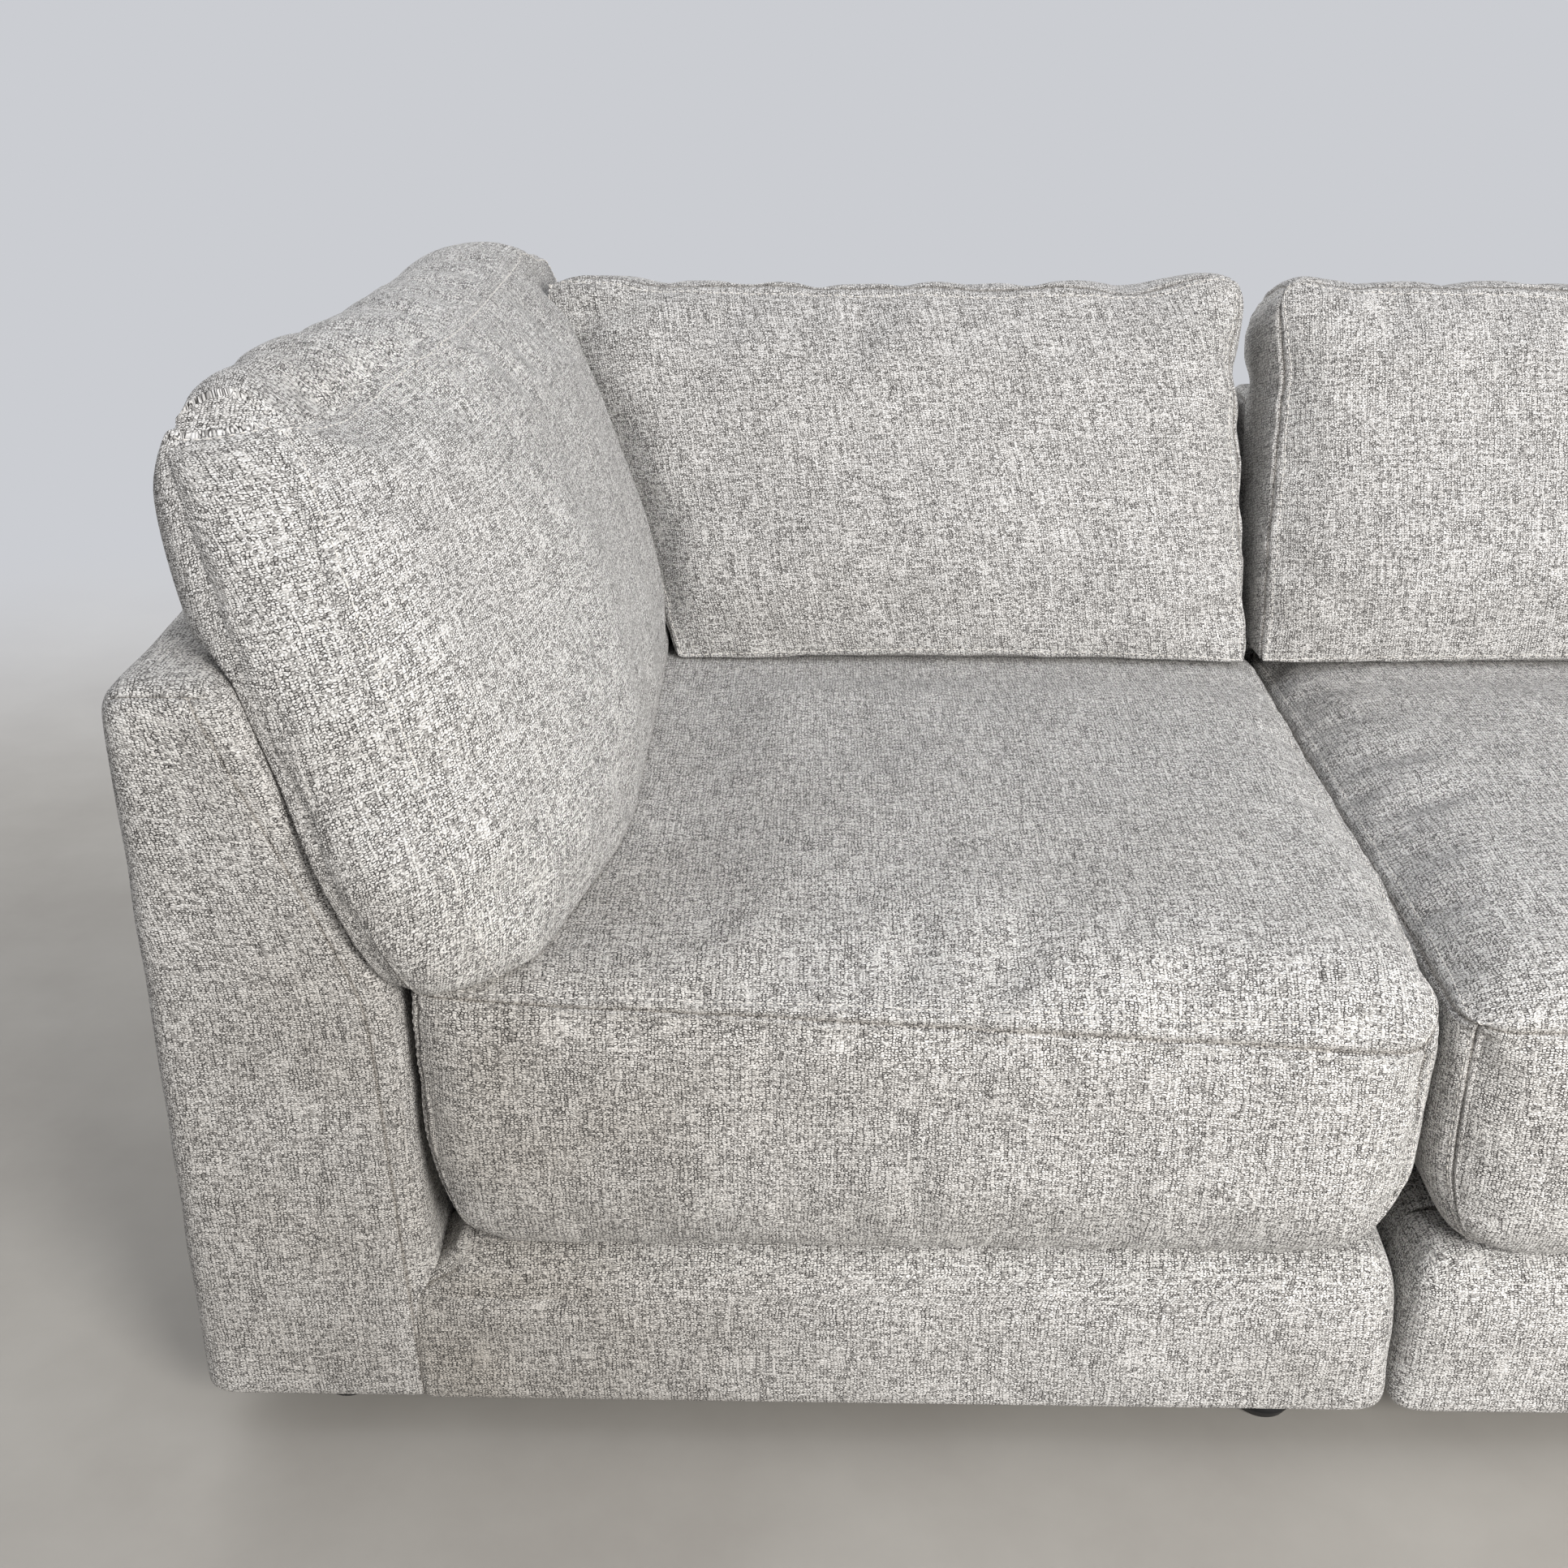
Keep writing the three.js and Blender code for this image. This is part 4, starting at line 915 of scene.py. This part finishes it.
for part, cushion, seed, fill, spots in (
    ("seat", seat_cushion(CORNER, True), 11, 0.8, SEAT_SPOTS),
    ("back", back_cushion(CORNER, True, mms(4, 13)), 23, 0.6, BACK_SPOTS),
    ("side", side_cushion(mms(8, 0)), 37, 0.6, SIDE_SPOTS),
):
    points = swell(cushion, seed)
    finish_cushion(LEFT, part, cushion, points, seed, spots)
    finish_cushion(RIGHT, part, cushion, points, seed + 100)
for part, cushion, seed, fill in (
    ("seat", seat_cushion(MIDDLE.width, False), 51, 0.8),
    ("back", back_cushion(MIDDLE.width, False, mms(7, 11)), 67, 0.6),
):
    finish_cushion(MIDDLE, part, cushion, swell(cushion, seed), seed, MIDDLE_SPOTS)


# Covers.

COVER_GRID, BASE_GRID, PAD_GRID, PAD_RISE = mms(11, 9, 22, 8)
SHARE_GRID, SHARE_RINGS = 0.075, (0, 0.03, 0.07, 0.12)
PANEL_RINGS, FRONT_RINGS, RISE_RINGS = mms(0, 4, 9, 15, 22), mms(0, 4, 9, 16), mms(0, 3, 7, 12)
RAIL_RINGS, REAR_RINGS, PAD_RINGS = mms(0, 5, 11), mms(0, 4), (mms(0, 5, 12), mms(0, 5, 12), mms(0, 5))
CORNER_RADIUS, MATE_RADIUS, TOP_RADIUS, HEEL_RADIUS, PAD_RADIUS = mms(26, 8, 24, 17, 7)
MITRE_CORNER = CORNER_RADIUS * (1 - math.sqrt(0.5))
BAND = 24 * mm  # the seam on the arm's front runs this far from its inner face
LAP = 27 * mm  # the cloth of the base reaches this far under the arm
PLEAT = 46 * mm
ROLL_INSET, ROLL_DROP = mms(30, 72)
RAIL_BACK = 78 * mm  # from the face of the base to the back of its rail
DUST_SETBACK, DUST_TOP = mms(42, 40)
COVER_SEAM, SIDE_SEAM = mms(2.6, 1.6)
SHARP = 1e-6


def panel_cover(width, is_arm, has_arm):
    """Cover of an arm, or of a back, as a rounded wedge whose end is mitred in a corner module."""
    mitred_start, mitred_end = has_arm and not is_arm, is_arm
    full = DEPTH if is_arm else width
    edge = 1 - BAND / FOOT_THICKNESS
    skin = Skin(
        stops(0, 1, SHARE_GRID, SHARE_RINGS, (edge,)),
        stops(0, full, COVER_GRID, PANEL_RINGS),
        stops(FOOT_HEIGHT, PANEL_HEIGHT, COVER_GRID, PANEL_RINGS),
    )
    share, place, z = skin.at.T
    thickness = soft_face(z) - lean(z)
    # The seam on the front of the arm keeps its distance from the inner face at every height.
    share = np.where(
        share < edge, share / edge * (1 - BAND / thickness), 1 - (1 - share) / (1 - edge) * BAND / thickness,
    )
    start_radius, side_radius = (TOP_RADIUS, CORNER_RADIUS) if is_arm else (MATE_RADIUS, MATE_RADIUS)
    inset, along, z = soft_box(
        columns(share * thickness, place, z),
        (0, -mitred_start, FOOT_HEIGHT),
        columns(thickness, full + mitred_end, PANEL_HEIGHT),
        (TOP_RADIUS, start_radius, HEEL_RADIUS * is_arm),
        (TOP_RADIUS, side_radius, TOP_RADIUS),
    ).T
    inset = lean(z) + inset / thickness * (soft_face(np.minimum(z, PANEL_HEIGHT)) - lean(z))
    if mitred_start or mitred_end:
        # The outer upright corner is round, and each half of it ends on the mitre.
        reach = full - along if mitred_end else along
        inset = np.maximum(inset, MITRE_CORNER * np.clip(1 - reach / CORNER_RADIUS, 0, 1) ** 2)
        tail = inset * np.clip(1 - reach / (2 * FOOT_THICKNESS), 0, 1)
        along = along - tail if mitred_end else along + tail
    points = columns(inset, along, z)
    fullness = ripple(points, *mms(210, 1.1), 5) + ripple(points, *mms(70, 0.35), 6)
    points = pushed(points, skin.faces, fullness * fade(z, FOOT_HEIGHT, 30 * mm))
    # The underside is recessed for the dust cover, but for its outer rim.
    inner = skin.on(2, 0) & (inset > DUST_SETBACK * 0.45)
    if not mitred_start:
        inner &= along > DUST_SETBACK
    if not mitred_end:
        inner &= along < full - DUST_SETBACK
    points[inner, 2] = DUST_TOP
    outer, front, rear, top = skin.on(0, 0), skin.on(1, 0), skin.on(1, 1), skin.on(2, 1)
    beside = np.isclose(skin.at[:, 0], edge) if is_arm else outer
    seam = front & (top | beside) | top & outer | rear & (top | outer)
    points = pushed(points, skin.faces, -COVER_SEAM * seam)
    if not is_arm:
        points = columns(points[:, 1], DEPTH - points[:, 0], points[:, 2])
    return skin, points, seam


def arm_foot_recess(points):
    """Draws the arm's band back below the mitre pleat, where the base's cloth laps over it."""
    x, y, z = points.T
    inside = fade(x, soft_face(z) - BAND - 1 * mm, 4 * mm) * fade(DECK_HEIGHT + 6 * mm, z, 10 * mm)
    return columns(x, y + 5 * mm * inside * (1 - fade(y, 0, 30 * mm)), z)


def rolled(points, low, high, low_radius, high_radius, faced_by):
    """Rounds a padded rail: its heel below, and the roll up to the platform on the face along one axis."""
    face = lerp(HEEL_RADIUS, ROLL_INSET, fade(points[:, 2], FOOT_HEIGHT + 20 * mm, 30 * mm))
    radii = (face, low_radius) if faced_by == 0 else (low_radius, face)
    return soft_box(
        points, (*low, FOOT_HEIGHT), (*high, DECK_HEIGHT), columns(*radii, HEEL_RADIUS),
        (*high_radius, ROLL_DROP),
    )


def base_front(width, has_arm):
    """Padded front of the base: its face, the heel below and the roll up to the platform."""
    start, lap = (FOOT_THICKNESS, LAP) if has_arm else (0, 0)
    skin = Skin(
        stops(start - lap, width, COVER_GRID, FRONT_RINGS),
        stops(0, RAIL_BACK, COVER_GRID, RAIL_RINGS),
        stops(FOOT_HEIGHT, DECK_HEIGHT, BASE_GRID, RISE_RINGS),
    )
    x, y, z = skin.at.T
    if has_arm:
        # The left end follows the seam up the arm's face, then the mitre pleat to the inner corner.
        begin = lerp(soft_face(z) - BAND, start + 12 * mm, fade(z, DECK_HEIGHT - PLEAT, PLEAT))
        x = begin + (x - skin.ends[0, 0]) / (width - skin.ends[0, 0]) * (width - begin)
    low, high = (x.min() - has_arm, 0), (width, RAIL_BACK + 1)
    end_radius = CORNER_RADIUS * (not has_arm) + SHARP
    points = rolled(columns(x, y, z), low, high, end_radius, (CORNER_RADIUS, 0), 1)
    if has_arm:
        points[:, 1] += 4 * mm * np.exp(-(x - begin) / (2.5 * mm)) * (1 - fade(y, 0, 25 * mm))
    fullness = ripple(points, *mms(160, 1.4), 8) + ripple(points, *mms(45, 0.5), 9)
    points = pushed(points, skin.faces, fullness * fade(z, FOOT_HEIGHT, 20 * mm))
    first = start - 5 * mm if has_arm else DUST_SETBACK
    points[skin.on(2, 0) & (y > DUST_SETBACK) & (x > first) & (x < width - DUST_SETBACK), 2] = DUST_TOP
    x, y, z = points.T
    seam = skin.on(1, 0) & skin.on(0, 0) & has_arm
    return skin, columns(np.clip(x, 0, width), np.clip(y, -3 * mm, RAIL_BACK), z), seam


def base_side(width, on_left):
    """Padded mating side of the base, which faces the next module."""
    skin = Skin(
        stops(0, RAIL_BACK, COVER_GRID, RAIL_RINGS),
        stops(RAIL_BACK + 0.3 * mm, DEPTH - FOOT_THICKNESS - 0.3 * mm, COVER_GRID, REAR_RINGS),
        stops(FOOT_HEIGHT, DECK_HEIGHT, BASE_GRID, RISE_RINGS),
    )
    points = rolled(skin.at, (0, 0), (RAIL_BACK + 1, DEPTH), SHARP, (0, 0), 0)
    points[skin.on(2, 0) & (skin.at[:, 0] > DUST_SETBACK), 2] = DUST_TOP
    seam = (skin.on(1, 0) | skin.on(1, 1)) & ~skin.on(0, 1)
    x, y, z = pushed(points, skin.faces, -SIDE_SEAM * seam).T
    x = np.clip(x, 0, RAIL_BACK)
    return skin, columns(x if on_left else width - x, y, z), seam


def deck_pad(node, module):
    """Platform pad over the springs: needled felt in a tight cloth, a little full between its edges."""
    low, high = (np.array(corner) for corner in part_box(node))
    skin = Skin(*(stops(*line) for line in zip(low, high, (PAD_GRID, PAD_GRID, PAD_RISE), PAD_RINGS)))
    points = soft_box(skin.at, low, high, PAD_RADIUS, PAD_RADIUS)
    top = skin.on(2, 1)
    points[top, 2] -= (1.2 + ripple(points[top], 120 * mm, 1, 15).clip(-1, 1)) * mm
    uv = panel_uv(skin, points, 3)
    piece = add_object(f"{module.name}_platform_pad", points, skin.faces, DECK_CLOTH, uv)
    subdivide(piece)
    ride(piece, module.body(), "deck_cloth", node)


def dust_cover(node, module):
    """Thin black cloth stapled under the frame: the frame's own dust cover, in black cambric."""
    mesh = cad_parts[node].data.copy()
    mesh.materials.clear()
    mesh.materials.append(DUST_CLOTH)
    piece = show(f"{module.name}_dust_cloth", mesh)
    ride(piece, module.body(), "dust_cloth", node)


FOOT_SIDES, RIBS, THREADS = 48, 3, 8
STUD_RADIUS, LID_RADIUS = mms(4, 0.2)


def foot(node, module):
    """Moulded foot: a tapered block with a rounded tip, ribs round its waist and a threaded stud."""
    low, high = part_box(node)
    centre = (low + high) / 2
    radius = (high.x - low.x) / 2
    tip, groove, root = radius - 5 * mm, radius - 0.9 * mm, STUD_RADIUS - 0.5 * mm
    profile = [
        (LID_RADIUS, 0), (tip - 2 * mm, 0), (tip, 1.2 * mm), (radius - 0.8 * mm, 9 * mm), (radius, 10.5 * mm),
    ]
    rib = ((radius, 0), (groove, 1.2), (groove, 2.2), (radius, 3.4))
    for at in range(14, 14 + 6 * RIBS, 6):
        profile += [(wide, (at + up) * mm) for wide, up in rib]
    profile += [(radius, FOOT_HEIGHT - 1 * mm), (radius - 1 * mm, FOOT_HEIGHT), (STUD_RADIUS, FOOT_HEIGHT)]
    for thread in range(THREADS):
        at = FOOT_HEIGHT + (thread * 2.3 + 1) * mm
        profile += [(STUD_RADIUS, at), (root, at + 1 * mm)]
    profile += [(STUD_RADIUS - 1 * mm, high.z), (LID_RADIUS, high.z)]
    turn = np.arange(FOOT_SIDES) * 2 * math.pi / FOOT_SIDES
    points = np.array([
        (centre.x + r * math.cos(t), centre.y + r * math.sin(t), z) for r, z in profile for t in turn
    ])
    lids = [list(range(FOOT_SIDES))[::-1], list(range(len(points) - FOOT_SIDES, len(points)))]
    sides = tube_faces(len(profile), FOOT_SIDES)
    piece = add_object(f"{node}_moulding", points, sides, FOOT_PLASTIC, lids=lids)
    piece.modifiers.new("edges", "WEIGHTED_NORMAL").keep_sharp = True
    ride(piece, module.body(), "foot_plastic", node)


def add_cover(module, part, made, shift, spots=()):
    """Puts the cover of a part in its module, cut from this far along the cloth."""
    skin, points, seam = made
    inward = np.sum(face_normals(points, skin.faces) * (points[skin.faces].mean(1) - points.mean(0))) < 0
    uv, flip = panel_uv(skin, points, shift), module.mirrored != bool(inward)
    piece = add_object(f"{module.name}_{part}_upholstery", module.place(points), skin.faces, FABRIC, uv, flip)
    soil_and_shade(piece, spots)
    # The seams are painted darker with shade and dust.
    mark(piece, "seam", seam)
    subdivide(piece)
    ride(piece, module.body(), "upholstery_fabric", module.body(f"{part}_cover"))


# Soiled places on the arm and base, which also paint the shade on the arm's inner band, low on its front and
# on the left of the base.
ARM_SPOTS = (
    (-1.21, -0.47, 0.40, 0.18, 0.5), (-1.23, -0.40, 0.60, 0.12, 0.3), (-1.31, -0.42, 0.66, 0.07, 0.3),
    (-1.27, -0.48, 0.12, 0.2, 0.6),
)
BASE_SPOTS = ((-1.16, -0.48, 0.10, 0.2, 0.95), (-0.9, -0.48, 0.08, 0.18, 0.2), (-0.5, -0.48, 0.08, 0.05, 0.2))

for module, arm_spots, base_spots in ((LEFT, ARM_SPOTS, BASE_SPOTS), (MIDDLE, (), ()), (RIGHT, (), ())):
    if module.has_arm:
        skin, points, seam = panel_cover(module.width, True, True)
        add_cover(module, "arm", (skin, arm_foot_recess(points), seam), 2, arm_spots)
    add_cover(module, "back", panel_cover(module.width, False, module.has_arm), 3)
    add_cover(module, "base_front", base_front(module.width, module.has_arm), 4, base_spots)
    for side in ("side",) if module.has_arm else ("left", "right"):
        add_cover(module, f"base_{side}", base_side(module.width, side == "left"), 5)
    deck_pad(module.body("deck_pad"), module)
    dust_cover(module.body("dust_cover"), module)
    for corner in ("front_outer", "front_inner", "rear_outer", "rear_inner"):
        foot(module.body(f"foot_{corner}"), module)

for name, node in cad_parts.items():
    for words, finish in (
        (("frame", "rail"), TIMBER), (("springs",), SPRING_STEEL), (("connector",), ZINC),
    ):
        if any(word in name for word in words) and not node.hide_render:
            node.data.materials.clear()
            node.data.materials.append(finish)


# Stage, light and camera.

BACKDROP_COLOUR = "#cbcdd2"
SKY_COLOUR, SKY_STRENGTH = "#f6f7fb", 0.46
FLOOR_SIZE = 20
FLOOR_MIDDLE = (0, -0.45, 0)
FLOOR_REACH = (2.0, 1.0, 0)  # half the size of the plain floor; beyond it the floor fades into the backdrop
FLOOR_FADE = 1.5


def seen_rays(tree):
    """1 for what is seen directly, by reflection or through something, and 0 for light on the object."""
    rays = put(tree, "LightPath", out="Is Camera Ray").node.outputs
    mirrored = put(tree, "Math", (rays["Is Glossy Ray"], rays["Is Transmission Ray"]), operation="MAXIMUM")
    return put(tree, "Math", (rays["Is Camera Ray"], mirrored), operation="MAXIMUM")


def pale_floor():
    """Power-floated concrete, sealed: pale warm grey, matt and lightly clouded, so that it keeps the sofa's
    shadow, and further off it fades into the plain backdrop."""
    made, tree, base = start_material("pale_concrete", Roughness=0.85)
    where = put(tree, "TexCoord", out="Object")
    cloud = put(tree, "TexNoise", {"Vector": where, "Scale": 3, "Detail": 6, "Roughness": 0.6})
    cloud = put(tree, "ValToRGB", (cloud,), bands=((0.3, "#a09c96"), (0.7, "#b0ada7")))
    tree.links.new(cloud, base.inputs["Base Color"])
    off = put(tree, "VectorMath", (where, FLOOR_MIDDLE), operation="SUBTRACT")
    off = put(tree, "VectorMath", (off,), operation="ABSOLUTE")
    off = put(tree, "VectorMath", (off, FLOOR_REACH), operation="SUBTRACT")
    off = put(tree, "VectorMath", (off, (0, 0, 0)), operation="MAXIMUM")
    far = put(tree, "VectorMath", (off,), "Value", operation="LENGTH")
    faded = put(tree, "MapRange", (far, 0.0, FLOOR_FADE), interpolation_type="SMOOTHSTEP")
    share = put(tree, "Math", (faded, seen_rays(tree)), operation="MULTIPLY")
    backdrop = put(tree, "Emission", (linear(BACKDROP_COLOUR), 1.0))
    both = put(tree, "MixShader", (share, base.outputs[0], backdrop))
    tree.links.new(both, tree.nodes["Material Output"].inputs["Surface"])
    return made


def stage():
    corners = FLOOR_SIZE * np.array([(-1, -1, 0), (1, -1, 0), (1, 1, 0), (-1, 1, 0)], float)
    floor = add_object("floor", corners, np.array([[0, 1, 2, 3]]), pale_floor())


def daylight():
    """Even light from all round, and the plain backdrop that is seen beyond the floor."""
    world = bpy.data.worlds.new("daylight")
    world.use_nodes = True
    tree = world.node_tree
    tree.nodes.remove(tree.nodes["Background"])
    light = put(tree, "Background", (linear(SKY_COLOUR), SKY_STRENGTH))
    backdrop = put(tree, "Background", (linear(BACKDROP_COLOUR), 1.0))
    both = put(tree, "MixShader", (seen_rays(tree), light, backdrop))
    tree.links.new(both, tree.nodes["World Output"].inputs["Surface"])
    bpy.context.scene.world = world


def lamp(name, at, target, size, power, colour):
    data = bpy.data.lights.new(name, "AREA")
    data.shape = "DISK"
    data.size, data.energy, data.color = size, power, linear(colour)[:3]
    made = show(name, data)
    made.location = at
    made.rotation_euler = (Vector(target) - Vector(at)).to_track_quat("-Z", "Y").to_euler()


def camera():
    """The photograph's camera."""
    data = bpy.data.cameras.new("camera")
    data.lens, data.sensor_width = CAMERA_LENS, SENSOR_WIDTH
    made = show("camera", data)
    turn = Matrix.Rotation(CAMERA_YAW, 4, "Z") @ Matrix.Rotation(math.pi / 2 + CAMERA_PITCH, 4, "X")
    made.matrix_world = Matrix.Translation(CAMERA_AT) @ turn @ Matrix.Rotation(CAMERA_ROLL, 4, "Z")
    bpy.context.scene.camera = made


stage()
daylight()
lamp("key", (1.0, -3.0, 1.75), (-0.6, -0.2, 0.4), 1.4, 122, "#fffcf8")
lamp("top", (-0.3, -0.6, 3.0), (-0.3, -0.2, 0.4), 2.4, 13, "#f6f8ff")
lamp("rear", (-2.4, 2.6, 1.5), (-0.3, 0, 0.4), 2.0, 52, "#ffffff")
camera()
bpy.context.scene.view_settings.view_transform = "Standard"
